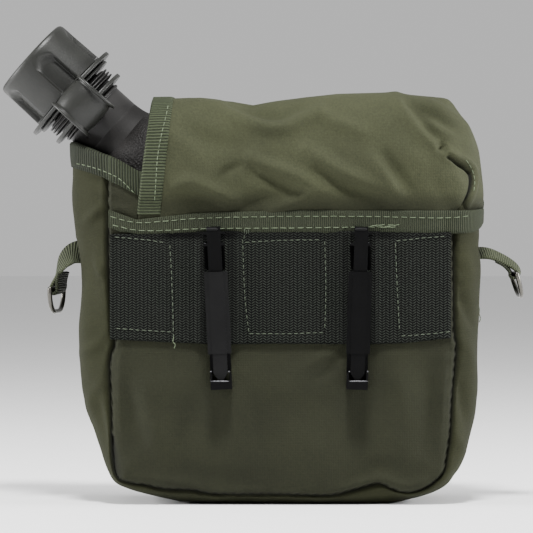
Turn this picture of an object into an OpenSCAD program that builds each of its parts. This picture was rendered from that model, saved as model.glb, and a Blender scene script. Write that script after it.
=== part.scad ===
// Two-quart collapsible canteen in its sewn belt cover, millimetres.
// +Z is up, the origin is the centre of the flat bottom, and the belt clips are on the -Y side.

/* [Cover] */
// Width of the cover across its side gussets
cover_w = 210; // [206:1:214]
// Depth of the cover, panel to panel
cover_d = 76; // [75:0.5:77]
// Height of the cover's mouth under the flap
mouth_z = 172.5; // [170:0.5:173.5]
// Height of the mouth beside the neck
mouth_peak_z = 189.5; // [186:0.5:191]
// Thickness of the outer cloth
cloth_t = 1.2; // [1:0.1:1.4]
// Thickness of the pile lining
liner_t = 2.4; // [2:0.1:2.5]
// Distance from the outline to the seam between panel and gusset
seam_inset = 16; // [12:1:20]
// Width of the binding tape
tape_w = 12; // [10:0.5:13]

/* [Flap] */
// Highest point of the flap
flap_top = 215; // [213.5:0.5:216.5]
// Height of the fold where the flap turns back
fold_z = 155.7; // [155.5:0.1:156.5]
// Lower edge of the flap's free hem
flap_hem_z = 147.5; // [145.5:0.5:147.5]
// Distance between the two snap fasteners
snap_spacing = 90; // [70:1:110]
// Height of the snap fasteners
snap_z = 167.2; // [167:0.1:167.4]

/* [Webbing and belt clips] */
// Width of the belt webbing
webbing_w = 57; // [55:0.5:57]
// Thickness of the belt webbing
webbing_t = 1.6; // [1.4:0.1:1.8]
// Height of the lower edge of the webbing
webbing_z = 84; // [83.5:0.5:85.5]
// Sideways place of the left clip
clip_left_x = -31.5; // [-36:0.5:-28]
// Sideways place of the right clip
clip_right_x = 42; // [38:0.5:46]
// Lean of the left clip
clip_left_lean = -2.9; // [-3:0.1:0]
// Lean of the right clip
clip_right_lean = 1.6; // [0:0.1:3]
// Space between the panel and the front leg of a clip
clip_gap = 11; // [10:0.5:12]
// Thickness of the clip steel
steel_t = 1; // [0.8:0.1:1]

/* [Neck and cap] */
// Sideways place of the neck's root
neck_x = -82.4; // [-84:0.2:-81]
// Height of the neck's root
neck_z = 191.1; // [189.5:0.2:192.5]
// Tilt of the neck from upright
neck_tilt = 48; // [46:1:50]
// Radius of the neck
neck_r = 18.3; // [18:0.1:18.6]
// Radius of the spout inside the cap
spout_r = 16.2; // [16:0.1:16.4]
// Radius of the drinking bore
bore_r = 14.2; // [13:0.1:14.5]
// Radius of the cap over its gripping pads
cap_r = 23.8; // [23.4:0.1:24.2]
// Distance from the neck's root to the top of the cap
cap_top = 65.5; // [65:0.5:67]
// Number of gripping pads
pads = 5; // [4:1:8]
// Pitch of the screw thread
pitch = 5; // [4:0.5:5]

/* [D-rings] */
// Half the width of a ring, to the middle of its wire
ring_r = 14.2; // [14:0.1:15]
// Depth of a ring, bar to bow, between the middles of the wire
ring_depth = 12.2; // [12:0.1:14]
// Radius of the wire
wire_r = 1.25; // [1:0.05:1.3]
// Width of the tape that holds a ring
ring_tape_w = 25; // [24:0.5:25]

/* [Hidden] */
$fn = 64;

// Colours
olive = "#3e3e30";
olive_light = "#4b5237";
webbing_green = "#2e3832";
clip_black = "#222222";
plastic_dark = "#3c3b37";
nickel = "#6e695a";
pile_grey = "#4a4f3e";

// Cover: a half size each way, and how far a skin stands outside another
half_w = cover_w / 2;
half_d = cover_d / 2;
big = 400;
bladder_gap = 0.7;
bladder_inset = cloth_t + liner_t + bladder_gap;
bladder_wall = 1.6;

// Flap: the skins, from the inside out
flap_lining_t = 1;
flap_t = flap_lining_t + cloth_t;
flap_back_y = half_d + 1.3 + flap_t;
flap_front_y = half_d + 2.2 + flap_t;
flap_right_x = half_w + 1.7 + flap_t;
flap_edge_low = [-75.7, 127.5];
flap_edge_high = [-62.5, 237.5];
flap_side_y = -9.5;
hem_t = 2.1;
binding_t = 0.8;
back_hem_z = fold_z - 0.8 - tape_w;
back_hem_left = -88.7;

// Webbing and clips
clip_z = 102.5;
clip_w = 11;
leg_w = 7.2;
panel_y = -half_d;
tunnel_half = 7.5;
tunnel_ramp = 5;
tunnel_depth = steel_t + 0.6;
bridge_z = webbing_z + webbing_w - clip_z + 0.5;
clip_bottom = -41.5;
slide_low = -23;
slide_high = 19.5;

// Neck stations, measured from the neck's root along its axis
bead_s = 20.4;
strap_seat_s = 23.4;
collar_s = 27;
fin_pitch = 1.8;
spout_s = 33;
spout_top = 61;
cap_low = 33.5;
lip_t = 1.2;
groove_s = cap_low + lip_t;
flange_s = 35.5;
flange_t = 2;
cap_body_s = 37.8;
gasket_t = 1.6;
flange_r = 29;
neck_ring_r = 24.4;
strap_w = 21;
cap_bore_r = spout_r + 2.1;
thread_start = 42;
thread_turns = 2.6;

// D-rings: the middle of each bar, its turn about Z, and how far the ring leans outwards
ring_left = [-117.3, 112.3];
ring_right = [125, 120.1];
ring_left_turn = -12;
ring_right_turn = 3;
ring_right_lean = 16;
bow_r = 10.8;
eye_r = wire_r + 0.35;
tape_t = 2;

// ---- Outlines ----

function unit(v) = v / norm(v);
function side_normal(a, b) = let (e = unit(b - a)) [-e.y, e.x];

// Moves every side of an anticlockwise outline inwards by o
function inset(pts, o) = [
    for (i = [0:len(pts) - 1])
        let (m = len(pts), a = pts[(i + m - 1) % m], b = pts[i], c = pts[(i + 1) % m])
        let (n0 = side_normal(a, b), n1 = side_normal(b, c))
        b + o * (n0 + n1) / (1 + n0 * n1)
];

// The points of an arc of radius r in the corner b between a and c
function fillet(a, b, c, r, steps) =
    let (u = unit(a - b), v = unit(c - b), half = acos(u * v) / 2)
    let (centre = b + unit(u + v) * r / sin(half), p = b + u * r / tan(half), q = b + v * r / tan(half))
    [for (i = [0:steps]) centre + r * unit((p - centre) * (1 - i / steps) + (q - centre) * i / steps)];

// Rounds each corner with its own radius
function rounded(pts, radii, steps = 5) = [
    for (i = [0:len(pts) - 1])
        let (m = len(pts))
        each radii[i] <= 0 ? [pts[i]]
            : fillet(pts[(i + m - 1) % m], pts[i], pts[(i + 1) % m], radii[i], steps)
];

function shrink(radii, o) = [for (r = radii) r <= 0 ? 0 : max(r - o, 1)];
function outline(pts, radii, o, steps = 5) = rounded(inset(pts, o), shrink(radii, o), steps);

// A smooth curve through four control points, and the outline of a strip t thick along a line
function bezier(p, steps = 14) = [
    for (i = [0:steps])
        let (t = i / steps, s = 1 - t)
        s * s * s * p[0] + 3 * s * s * t * p[1] + 3 * s * t * t * p[2] + t * t * t * p[3]
];
function line_normal(pts, i) = side_normal(pts[max(i - 1, 0)], pts[min(i + 1, len(pts) - 1)]);
function strip(pts, t) = concat(
    [for (i = [0:len(pts) - 1]) pts[i] - line_normal(pts, i) * t / 2],
    [for (i = [len(pts) - 1:-1:0]) pts[i] + line_normal(pts, i) * t / 2]
);

module across_y(pts) rotate([90, 0, 0]) linear_extrude(big, center = true) polygon(pts);
module across_x(pts) rotate([90, 0, 90]) linear_extrude(big, center = true) polygon(pts);
module upright(pts) linear_extrude(big) polygon(pts);
module band(z0, z1) translate([-big / 2, -big / 2, z0]) cube([big, big, z1 - z0]);

// Front view of the cover below its mouth; the upper corners lie above the mouth
cover_low = [[-half_w + 0.5, 55.5], [-87, 4.5], [-55, 0], [58, 0], [88, 4.5], [half_w, 55.5]];
cover_low_r = [70, 14, 60, 60, 14, 70];
cover_front = concat(cover_low, [[half_w + 1, 230], [-half_w - 5, 230]]);
cover_front_r = concat(cover_low_r, [0, 0]);
cover_side = [[-half_d, 0], [half_d, 0], [half_d, 135.5], [half_d - 2, 183.5], [half_d - 2, 230], [-half_d, 230]];
cover_side_r = [16, 16, 0, 0, 0, 0];
plan_r = 28;
cover_plan = [[-half_w - 3, -half_d], [half_w + 1, -half_d], [half_w + 1, half_d], [-half_w - 3, half_d]];
cover_plan_r = [plan_r, plan_r, plan_r, plan_r];

module cover_solid(o) {
    intersection() {
        across_y(outline(cover_front, cover_front_r, o));
        across_x(outline(cover_side, cover_side_r, o));
        upright(outline(cover_plan, cover_plan_r, o));
    }
}

// Everything below the mouth edge, lowered by d
module below_mouth(d) {
    across_y([
        [-half_w - 30, -10], [half_w + 30, -10], [half_w + 30, mouth_z - d], [-72, mouth_z - d],
        [-84, mouth_z + 7 - d], [-half_w - 6, mouth_peak_z - d], [-half_w - 30, mouth_peak_z + 4 - d]
    ]);
}

module above_mouth() {
    difference() {
        translate([-big / 2, -big / 2, mouth_z - 30]) cube(big);
        below_mouth(0);
    }
}

module cover_skin() {
    intersection() {
        difference() {
            cover_solid(0);
            cover_solid(cloth_t);
        }
        below_mouth(0);
    }
}

// The part of the cover inside the panel seam, for both panels
module panel_region() {
    across_y(outline(
        concat(cover_low, [[half_w + 1, 300], [-half_w - 2, 300]]), cover_front_r, seam_inset));
}

module half_space(side) translate([-big / 2, side > 0 ? 0 : -big, -10]) cube([big, big, big]);

module panel(side) {
    color(olive) intersection() {
        cover_skin();
        panel_region();
        half_space(side);
    }
}

module back_panel() panel(-1);
module front_panel() panel(1);

module side_gusset() {
    color(olive) difference() {
        cover_skin();
        panel_region();
    }
}

module pile_liner() {
    color(pile_grey) difference() {
        intersection() {
            difference() {
                cover_solid(cloth_t);
                cover_solid(cloth_t + liner_t);
            }
            below_mouth(2);
        }
        snap_holes(snap_back_r + 0.3);
    }
}

module mouth_binding() {
    color(olive_light) difference() {
        cover_solid(-binding_t * 0.7);
        cover_solid(0);
        below_mouth(tape_w + 1);
        snap_holes(snap_stud_r + 0.2);
        above_mouth();
    }
}

// The hem that holds the flap: it follows the back of the cover and turns the right-hand corner
module back_hem() {
    color(olive_light) intersection() {
        difference() {
            cover_solid(-hem_t);
            cover_solid(0);
        }
        band(back_hem_z, back_hem_z + tape_w);
        translate([back_hem_left, -big, 0]) cube([big, big + flap_side_y - 0.5, big]);
    }
}

// ---- Flap ----

flap_front = [
    [flap_right_x, 100], [flap_right_x - 0.3, mouth_z + 1.5], [flap_right_x - 3.5, mouth_z + 13],
    [91, flap_top], [-150, flap_top], [-150, 100]
];
flap_front_r = [0, 10, 18, 10, 0, 0];
flap_side = [[-flap_back_y, 100], [flap_front_y, 100], [flap_front_y, flap_top], [-flap_back_y, flap_top]];
flap_side_r = [0, 0, 32, 17];
flap_plan = [
    [-200, -flap_back_y], [flap_right_x, -flap_back_y], [flap_right_x, flap_front_y], [-200, flap_front_y]
];
flap_plan_r = [0, plan_r, plan_r, 0];

module flap_solid(o) {
    intersection() {
        across_y(outline(flap_front, flap_front_r, o));
        across_x(outline(flap_side, flap_side_r, o));
        upright(outline(flap_plan, flap_plan_r, o));
    }
}

// Everything from the flap's neck-side edge, moved right by d, and above its lower edge
module flap_extent(d) {
    intersection() {
        across_y([flap_edge_low + [d, 0], [200, 130], [200, 240], flap_edge_high + [d, 0]]);
        across_x([
            [-60, fold_z + 0.4], [flap_side_y, fold_z + 0.4], [flap_side_y, flap_hem_z],
            [60, flap_hem_z], [60, 240], [-60, 240]
        ]);
    }
}

module flap_skin(o, t) {
    intersection() {
        difference() {
            flap_solid(o);
            flap_solid(o + t);
        }
        flap_extent(0);
    }
}

module flap() color(olive) flap_skin(0, cloth_t);
module flap_lining() color(pile_grey) flap_skin(cloth_t, flap_lining_t);

module flap_side_binding() {
    color(olive_light) difference() {
        flap_skin(-binding_t, binding_t);
        flap_extent(tape_w - 0.5);
    }
}

module flap_hem() {
    color(olive_light) intersection() {
        flap_skin(-binding_t, binding_t);
        flap_extent(tape_w - 0.4);
        band(flap_hem_z, flap_hem_z + tape_w);
        translate([-big / 2, flap_side_y, 0]) cube(big);
    }
}

// ---- Snap fasteners ----

snap_middle_x = 18;
snap_stud_r = 4.4;
snap_back_r = 5.5;

// A turned shape at both snaps, its axis along +Y
module at_snaps(y) {
    for (side = [-1, 1])
        translate([snap_middle_x + side * snap_spacing / 2, y, snap_z]) rotate([-90, 0, 0]) children();
}

module snap_caps() {
    color(clip_black) at_snaps(flap_front_y) rotate_extrude() polygon(
        concat([[0, 0], [7.4, 0]], bezier([[7.4, 0.6], [7.2, 2], [4, 2.4], [0, 2.4]], 6)));
}

module snap_sockets() {
    color(clip_black) at_snaps(flap_front_y - flap_t - 0.8) difference() {
        cylinder(h = 0.8, r = 4.5);
        translate([0, 0, -1]) cylinder(h = 3, r = 2.6);
    }
}

// The panel leans in above the fold, so the studs stand on a small flat base
module snap_studs() {
    color(clip_black) at_snaps(half_d - 1) rotate_extrude() polygon(
        [[0, 0], [snap_stud_r, 0], [snap_stud_r, 1], [2, 1], [2, 1.6], [0, 1.6]]);
}

module snap_backs() {
    color(clip_black) at_snaps(half_d - 4) cylinder(h = 1.2, r = snap_back_r);
}

// Room for the snaps in the front of the cover
module snap_holes(r) {
    at_snaps(20) cylinder(h = 30, r = r);
}

// ---- Belt webbing and clips ----

function clip_xs() = [clip_left_x, clip_right_x];

// Face of the webbing, y away from the panel: flat, with a tunnel over each clip leg
function webbing_face(y) = concat(
    [[-87.5, y]],
    [for (x = clip_xs()) each [
        [x - tunnel_half - tunnel_ramp, y], [x - tunnel_half, y + tunnel_depth],
        [x + tunnel_half, y + tunnel_depth], [x + tunnel_half + tunnel_ramp, y]
    ]],
    [[89.5, y]]
);

module belt_webbing() {
    inner = webbing_face(0);
    outer = webbing_face(webbing_t);
    lip = [for (i = [len(outer) - 1:-1:0]) outer[i]];
    color(webbing_green) translate([0, panel_y, webbing_z]) mirror([0, 1, 0])
        linear_extrude(webbing_w) polygon(concat(inner, lip));
}

// Places a clip: local z runs up the clip, local y is the distance out from the panel
module at_clip(x, lean) {
    translate([x, panel_y, clip_z]) rotate([0, lean, 0]) mirror([0, 1, 0]) children();
}

module plate(w, y0, y1, z0, z1) translate([-w / 2, y0, z0]) cube([w, y1 - y0, z1 - z0]);

module clip_frame() {
    back = 0.2;
    front = clip_gap;
    hook = clip_gap + steel_t + 1.5;
    color(clip_black) {
        difference() {
            plate(clip_w, back, back + steel_t, clip_bottom, bridge_z + steel_t);
            plate(4, -1, back + steel_t + 1, -12, 12);
        }
        plate(clip_w, back, front + steel_t, bridge_z, bridge_z + steel_t);
        plate(leg_w, front, front + steel_t, -34, bridge_z + 4);
        plate(clip_w, front, front + steel_t, 33, 34.5);
        plate(clip_w, back, hook + steel_t, clip_bottom, clip_bottom + steel_t);
        plate(clip_w, hook, hook + steel_t, clip_bottom, clip_bottom + 4.5);
        for (side = [-1, 1])
            translate([side * (clip_w - steel_t) / 2, 0, 0])
                plate(steel_t, back, hook + steel_t, clip_bottom, clip_bottom + 8.5);
    }
}

// The slide wraps the front leg; its pointed tongue drops behind the hook
module clip_slide() {
    play = 0.3;
    wall = 0.8;
    front = clip_gap + steel_t + play;
    rear = clip_gap - play;
    inner_w = leg_w + 2 * play;
    outer_w = 12.2;
    color(clip_black) {
        difference() {
            plate(outer_w, rear - wall, front + wall, slide_low, slide_high);
            plate(inner_w, rear, front, slide_low - 1, slide_high + 1);
            plate(inner_w - 2, rear - wall - 1, rear + 1, slide_low - 1, slide_high + 1);
        }
        plate(leg_w + 0.6, front, front + wall + 0.5, slide_low, slide_high);
        translate([0, front + wall, 0]) rotate([90, 0, 0]) linear_extrude(wall) polygon(
            [[-3.7, slide_low], [3.7, slide_low], [3.7, -33], [0, -38.6], [-3.7, -33]]);
    }
}

module clip_frame_left() at_clip(clip_left_x, clip_left_lean) clip_frame();
module clip_frame_right() at_clip(clip_right_x, clip_right_lean) clip_frame();
module clip_slide_left() at_clip(clip_left_x, clip_left_lean) clip_slide();
module clip_slide_right() at_clip(clip_right_x, clip_right_lean) clip_slide();

// ---- Canteen ----

// Front view of the bladder before its inset; the sloping corner carries the neck
bladder_top = 208.9;
bladder_front = concat(cover_low, [
    [half_w + 0.4, 162.5], [100, 191.5], [84, bladder_top], [-72.4, bladder_top], [-104.8, 172.7]
]);
bladder_front_r = concat(cover_low_r, [40, 20, 20, 8, 14]);
bladder_side = [
    [-half_d, 0], [half_d, 0], [half_d, 135.5], [half_d - 2, 183.5], [half_d - 2, bladder_top], [-half_d, bladder_top]
];
bladder_side_r = [16, 16, 0, 0, 38, 24];

module bladder(o) {
    intersection() {
        across_y(outline(bladder_front, bladder_front_r, o));
        across_x(outline(bladder_side, bladder_side_r, o));
        upright(outline(cover_plan, cover_plan_r, o));
    }
}

// Children are drawn with z along the neck's axis, from the neck's root
module on_neck() translate([neck_x, 0, neck_z]) rotate([0, -neck_tilt, 0]) children();

// A screw ridge as one closed mesh: each ring has the four corners of the ridge's section
module thread_ridge(r_root, r_crest, w_root, w_crest, from, turns) {
    steps = 24;
    count = ceil(turns * steps);
    section = [[r_root, -w_root / 2], [r_crest, -w_crest / 2], [r_crest, w_crest / 2], [r_root, w_root / 2]];
    points = [
        for (i = [0:count], p = section)
            let (a = 360 * i / steps, z = from + pitch * i / steps)
            [p.x * cos(a), p.x * sin(a), z + p.y]
    ];
    sides = [
        for (i = [0:count - 1], k = [0:3])
            let (a = 4 * i + k, b = 4 * i + (k + 1) % 4)
            each [[a, a + 4, b + 4], [a, b + 4, b]]
    ];
    polyhedron(points, concat([[0, 1, 2, 3]], sides, [[for (k = [3:-1:0]) 4 * count + k]]));
}

module neck_outside() {
    fin = [for (i = [0:2]) let (s = collar_s + i * fin_pitch) each [
        [20, s], [22, s + 0.3], [22, s + 0.9], [20, s + 1.2]
    ]];
    rotate_extrude($fn = 96) polygon(concat(
        [[0, -14], [neck_r + 5, -14], [neck_r + 3, -3], [neck_r, 4], [neck_r, bead_s],
         [neck_r + 1.2, bead_s + 0.6], [neck_r + 1.2, bead_s + 1.6], [neck_r, bead_s + 2.2], [neck_r, collar_s]],
        fin,
        [[20, spout_s - 0.6], [spout_r + 0.6, spout_s], [spout_r, spout_s + 0.6], [spout_r, spout_top], [0, spout_top]]
    ));
}

module canteen_body() {
    color(plastic_dark) {
        difference() {
            union() {
                bladder(bladder_inset);
                on_neck() neck_outside();
            }
            bladder(bladder_inset + bladder_wall);
            on_neck() translate([0, 0, -20]) cylinder(h = 100, r = bore_r, $fn = 96);
        }
        on_neck() thread_ridge(spout_r - 0.4, spout_r + 1.3, 1.8, 1, thread_start, thread_turns);
    }
}

module cap() {
    recess = 30;
    color(plastic_dark) on_neck() {
        difference() {
            rotate_extrude($fn = 96) polygon(concat(
                [[0, cap_low], [25, cap_low], [25, groove_s], [22.4, groove_s + 0.4], [22.4, cap_body_s],
                 [cap_r, cap_body_s]],
                fillet([cap_r, cap_low], [cap_r - 0.6, cap_top], [0, cap_top], 4, 5),
                [[0, cap_top]]
            ));
            translate([0, 0, cap_low - 1])
                cylinder(h = spout_top + 0.2 + gasket_t - cap_low + 1, r = cap_bore_r, $fn = 96);
            for (i = [0:pads - 1])
                rotate([0, 0, -82 - recess / 2 + 360 / pads * i])
                    rotate_extrude(angle = recess, $fn = 96) polygon(
                        [[21.4, cap_body_s + 0.6], [30, cap_body_s + 0.6], [30, 61], [23, 61], [21.4, 58.5]]);
        }
        thread_ridge(cap_bore_r + 0.4, spout_r + 0.5, 1.8, 1, thread_start + pitch / 2, thread_turns);
    }
}

module cap_gasket() {
    color("#1c1c1c") on_neck() translate([0, 0, spout_top + 0.2]) difference() {
        cylinder(h = gasket_t, r = cap_bore_r - 0.3);
        translate([0, 0, -1]) cylinder(h = gasket_t + 2, r = 11);
    }
}

module strap_cap_ring() {
    color(plastic_dark) on_neck() translate([0, 0, flange_s]) difference() {
        cylinder(h = flange_t, r = flange_r, $fn = 96);
        translate([0, 0, -1]) cylinder(h = flange_t + 2, r = 22.8, $fn = 96);
    }
}

module strap_neck_ring() {
    color(plastic_dark) on_neck() translate([0, 0, strap_seat_s]) difference() {
        cylinder(h = flange_t, r = neck_ring_r, $fn = 96);
        translate([0, 0, -1]) cylinder(h = flange_t + 2, r = neck_r + 0.4, $fn = 96);
    }
}

// The band leaves the cap ring towards -Y, loops down the neck and comes back to the neck ring
module strap_band() {
    top = flange_s + flange_t / 2;
    low = strap_seat_s + flange_t / 2;
    out = bezier([[26.4, top], [36, top + 1.5], [38.5, top - 10], [36, low - 6]], 10);
    back = bezier([[36, low - 6], [34, low - 15], [27.5, low - 15], [neck_ring_r - 1.4, low + 0.4]], 10);
    centre = concat(out, [for (i = [1:len(back) - 1]) back[i]]);
    color(plastic_dark) on_neck() difference() {
        rotate([90, 0, -90]) linear_extrude(strap_w, center = true) polygon(strip(centre, 1.8));
        translate([0, 0, flange_s]) cylinder(h = flange_t + 0.01, r = flange_r, $fn = 96);
        translate([0, 0, strap_seat_s]) cylinder(h = flange_t, r = neck_ring_r, $fn = 96);
    }
}

// ---- D-rings ----

// Turns its children about the upright line through a ring's pivot
module turned(pivot, turn) {
    translate([pivot.x, 0, pivot.y]) rotate([0, 0, turn]) translate([-pivot.x, 0, -pivot.y]) children();
}

// A folded tape from its root on the gusset to the eye round the ring's bar
module ring_tape(root, eye, bend, turn) {
    dir = unit(eye - bend);
    path = bezier([root, root + (bend - root) * 0.7, bend, eye - dir * eye_r], 8);
    color(olive_light) difference() {
        turned(eye, turn) rotate([90, 0, 0]) linear_extrude(ring_tape_w, center = true) difference() {
            union() {
                polygon(strip(path, tape_t));
                translate(eye) circle(r = eye_r + 1);
            }
            translate(eye) circle(r = eye_r);
        }
        cover_solid(0);
    }
}

module ring_tape_left() ring_tape([-half_w + 4, 133], ring_left, [-half_w - 9.5, 131.5], ring_left_turn);
module ring_tape_right() ring_tape([half_w - 3, 130.8], ring_right, [half_w + 13, 131], ring_right_turn);

// A ring hanging from its bar, which lies along Y through the origin
module d_ring() {
    leg = ring_depth - bow_r;
    flat = ring_r - bow_r;
    rotate([90, 0, 0]) cylinder(h = 2 * ring_r, r = wire_r, center = true, $fn = 32);
    translate([0, 0, -ring_depth]) rotate([90, 0, 0])
        cylinder(h = 2 * flat, r = wire_r, center = true, $fn = 32);
    for (side = [-1, 1]) {
        translate([0, side * ring_r, 0]) sphere(r = wire_r, $fn = 32);
        translate([0, side * ring_r, -leg]) cylinder(h = leg, r = wire_r, $fn = 32);
        translate([0, side * flat, -leg]) rotate([0, 90, 0]) mirror([0, (1 - side) / 2, 0])
            rotate_extrude(angle = 90, $fn = 64) translate([bow_r, 0]) circle(r = wire_r, $fn = 32);
    }
}

module d_ring_left() {
    color(nickel) translate([ring_left.x, 0, ring_left.y]) rotate([0, 0, ring_left_turn]) d_ring();
}

module d_ring_right() {
    color(nickel) translate([ring_right.x, 0, ring_right.y]) rotate([0, 0, ring_right_turn])
        rotate([0, -ring_right_lean, 0]) d_ring();
}

// ---- Nodes ----

canteen_body();
cap();
cap_gasket();
strap_cap_ring();
strap_band();
strap_neck_ring();
back_panel();
front_panel();
side_gusset();
pile_liner();
mouth_binding();
back_hem();
belt_webbing();
ring_tape_left();
ring_tape_right();
d_ring_left();
d_ring_right();
flap();
flap_lining();
flap_side_binding();
flap_hem();
snap_caps();
snap_sockets();
snap_studs();
snap_backs();
clip_frame_left();
clip_frame_right();
clip_slide_left();
clip_slide_right();
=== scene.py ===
import math

import bmesh
import bpy
import numpy as np
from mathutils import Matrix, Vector
from mathutils.bvhtree import BVHTree


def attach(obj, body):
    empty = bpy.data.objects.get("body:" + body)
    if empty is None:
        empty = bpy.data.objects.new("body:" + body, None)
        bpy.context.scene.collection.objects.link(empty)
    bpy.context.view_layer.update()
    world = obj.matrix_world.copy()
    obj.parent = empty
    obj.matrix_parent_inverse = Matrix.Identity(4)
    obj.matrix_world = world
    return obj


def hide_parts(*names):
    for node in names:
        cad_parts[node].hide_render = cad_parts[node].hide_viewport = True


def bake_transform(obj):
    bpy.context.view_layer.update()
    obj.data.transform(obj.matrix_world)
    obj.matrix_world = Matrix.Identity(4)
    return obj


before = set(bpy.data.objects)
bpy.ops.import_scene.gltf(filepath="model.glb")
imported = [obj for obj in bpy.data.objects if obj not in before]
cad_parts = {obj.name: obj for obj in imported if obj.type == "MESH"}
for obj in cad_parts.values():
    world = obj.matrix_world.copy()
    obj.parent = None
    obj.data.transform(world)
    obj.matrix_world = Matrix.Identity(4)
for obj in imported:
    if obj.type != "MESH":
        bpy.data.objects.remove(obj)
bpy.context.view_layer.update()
MM = 0.001
TAU = 2 * math.pi

# ---- Camera ----
aim = Vector((-6.1, 0, 123.9)) * MM
elevation = math.radians(1)
distance = 2.2
SENSOR, VIEW_WIDTH = 36, 0.2825
cam_data = bpy.data.cameras.new("camera")
cam_data.sensor_width = SENSOR
cam_data.lens = SENSOR * distance / VIEW_WIDTH
cam_data.clip_start = 0.05
camera = bpy.data.objects.new("camera", cam_data)
camera.location = aim + distance * Vector((0, -math.cos(elevation), math.sin(elevation)))
camera.rotation_euler = (math.pi / 2 - elevation, 0, 0)
bpy.context.scene.collection.objects.link(camera)
bpy.context.scene.camera = camera


# ---- Numbers and grids, in millimetres ----
def arr(p):
    return np.array(p, float)


def smooth(x, a, b):
    """Rises from 0 at a to 1 at b."""
    t = np.clip((x - a) / (b - a), 0, 1)
    return t * t * (3 - 2 * t)


def length_along(p):
    return np.concatenate([[0], np.cumsum(np.linalg.norm(np.diff(p, axis=0), axis=1))])


def at_length(p, s):
    own = length_along(p)
    return np.stack([np.interp(s, own, p[:, k]) for k in range(p.shape[1])], axis=1)


def even(p, n):
    return at_length(p, np.linspace(0, length_along(p)[-1], n))


def lattice_uv(u, v):
    """Two rulers, in millimetres, as a grid of UV places."""
    return np.stack(np.meshgrid(u, v, indexing="ij"), axis=-1)


def curve(points, per=16):
    """A smooth curve through the points, per samples to each span."""
    p = arr(points)
    q = np.concatenate([[2 * p[0] - p[1]], p, [2 * p[-1] - p[-2]]])
    t = np.linspace(0, 1, per, endpoint=False)[:, None]
    out = []
    for i in range(len(p) - 1):
        a, b, c, d = q[i:i + 4]
        out.append(0.5 * (2 * b + (c - a) * t + (2 * a - 5 * b + 4 * c - d) * t ** 2
                          + (3 * b - a - 3 * c + d) * t ** 3))
    return np.concatenate(out + [p[-1:]])


def noise(p, size, seed=0):
    """Smooth lumps of about this size, from -1 to 1."""
    q = p / size + seed * 7.13
    i = np.floor(q)
    f = q - i
    f = f * f * (3 - 2 * f)

    def lattice(dx, dy, dz):
        mixed = (i[..., 0] + dx) * 12.9898 + (i[..., 1] + dy) * 78.233 + (i[..., 2] + dz) * 37.719
        v = np.sin(mixed) * 4375.85
        return v - np.floor(v)

    total = 0
    for dx in (0, 1):
        for dy in (0, 1):
            for dz in (0, 1):
                w = [f[..., k] if d else 1 - f[..., k] for k, d in enumerate((dx, dy, dz))]
                total = total + w[0] * w[1] * w[2] * lattice(dx, dy, dz)
    return 2 * total - 1


def unit(v):
    return v / np.maximum(np.linalg.norm(v, axis=-1, keepdims=True), 1e-9)


def normals(p, inside, close_v=False):
    """The normals of a grid of points, turned to point away from the point inside."""
    across = np.roll(p, -1, 1) - np.roll(p, 1, 1) if close_v else np.gradient(p, axis=1)
    n = unit(np.cross(np.gradient(p, axis=0), across))
    if np.mean(np.sum(n * (p - arr(inside)), axis=-1)) < 0:
        n = -n
    return n


def quads(nu, nv, close_u=False, close_v=False):
    i = np.arange(nu if close_u else nu - 1)[:, None]
    j = np.arange(nv if close_v else nv - 1)[None, :]
    a, b = (i % nu) * nv, ((i + 1) % nu) * nv
    c = (j + 1) % nv
    return np.stack([a + j, b + j, b + c, a + c], axis=-1).reshape(-1, 4)


def make(name, verts, faces, mats, uv=None, kinds=None):
    me = bpy.data.meshes.new(name)
    me.from_pydata((np.asarray(verts) * MM).tolist(), [], [list(map(int, f)) for f in faces])
    me.polygons.foreach_set("use_smooth", [True] * len(me.polygons))
    if kinds is not None:
        me.polygons.foreach_set("material_index", np.asarray(kinds, dtype=np.int32))
    if uv is not None:
        loops = np.zeros(len(me.loops), dtype=np.int32)
        me.loops.foreach_get("vertex_index", loops)
        layer = me.uv_layers.new(name="UVMap")
        layer.data.foreach_set("uv", (np.asarray(uv) * MM)[loops].astype(np.float32).ravel())
    me.update()
    o = bpy.data.objects.new(name, me)
    for m in mats:
        me.materials.append(m)
    bpy.context.scene.collection.objects.link(o)
    return o


def set_painted_shade(o, values):
    """Paints shade into a piece's colour: deepens it by these amounts, from 0 to 1, one for each vertex."""
    layer = o.data.attributes.new("dark", "FLOAT", "POINT")
    layer.data.foreach_set("value", np.ravel(values).astype(np.float32))


def grid(name, p, n, mats, uv=None, thick=0.0, close_v=False, dark=None):
    """A surface through a grid of points. With a thickness it is a closed shell, grown against n, whose inside
    takes the second material. dark, from 0 to 1, is painted shade that deepens the colour down in folds and
    seams."""
    nu, nv = p.shape[:2]
    f = quads(nu, nv, close_v=close_v)
    flat = p.reshape(-1, 3)
    face_n = np.cross(flat[f[:, 1]] - flat[f[:, 0]], flat[f[:, 3]] - flat[f[:, 0]])
    if np.sum(face_n * n.reshape(-1, 3)[f[:, 0]]) < 0:
        f = f[:, ::-1]
    if uv is None:
        uv = lattice_uv(length_along(p[:, nv // 2]), length_along(p[nu // 2]))
    uv = np.asarray(uv).reshape(-1, 2)
    if thick <= 0:
        return make(name, flat, f, mats, uv)
    total = nu * nv
    inner = (p - n * thick).reshape(-1, 3)
    index = np.arange(total).reshape(nu, nv)
    rims = [index[0], index[-1][::-1], index[:, -1], index[:, 0][::-1]]
    side = np.concatenate([np.stack([r[:-1], r[1:], r[1:] + total, r[:-1] + total], axis=-1) for r in rims])
    faces = np.concatenate([f, f[:, ::-1] + total, side])
    kinds = np.concatenate([np.zeros(len(f)), np.ones(len(f)) * (len(mats) > 1), np.zeros(len(side))])
    o = make(name, np.concatenate([flat, inner]), faces, mats, np.concatenate([uv, uv]), kinds)
    if dark is not None:
        set_painted_shade(o, [dark, dark])
    fix_normals(o)
    return o


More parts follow.
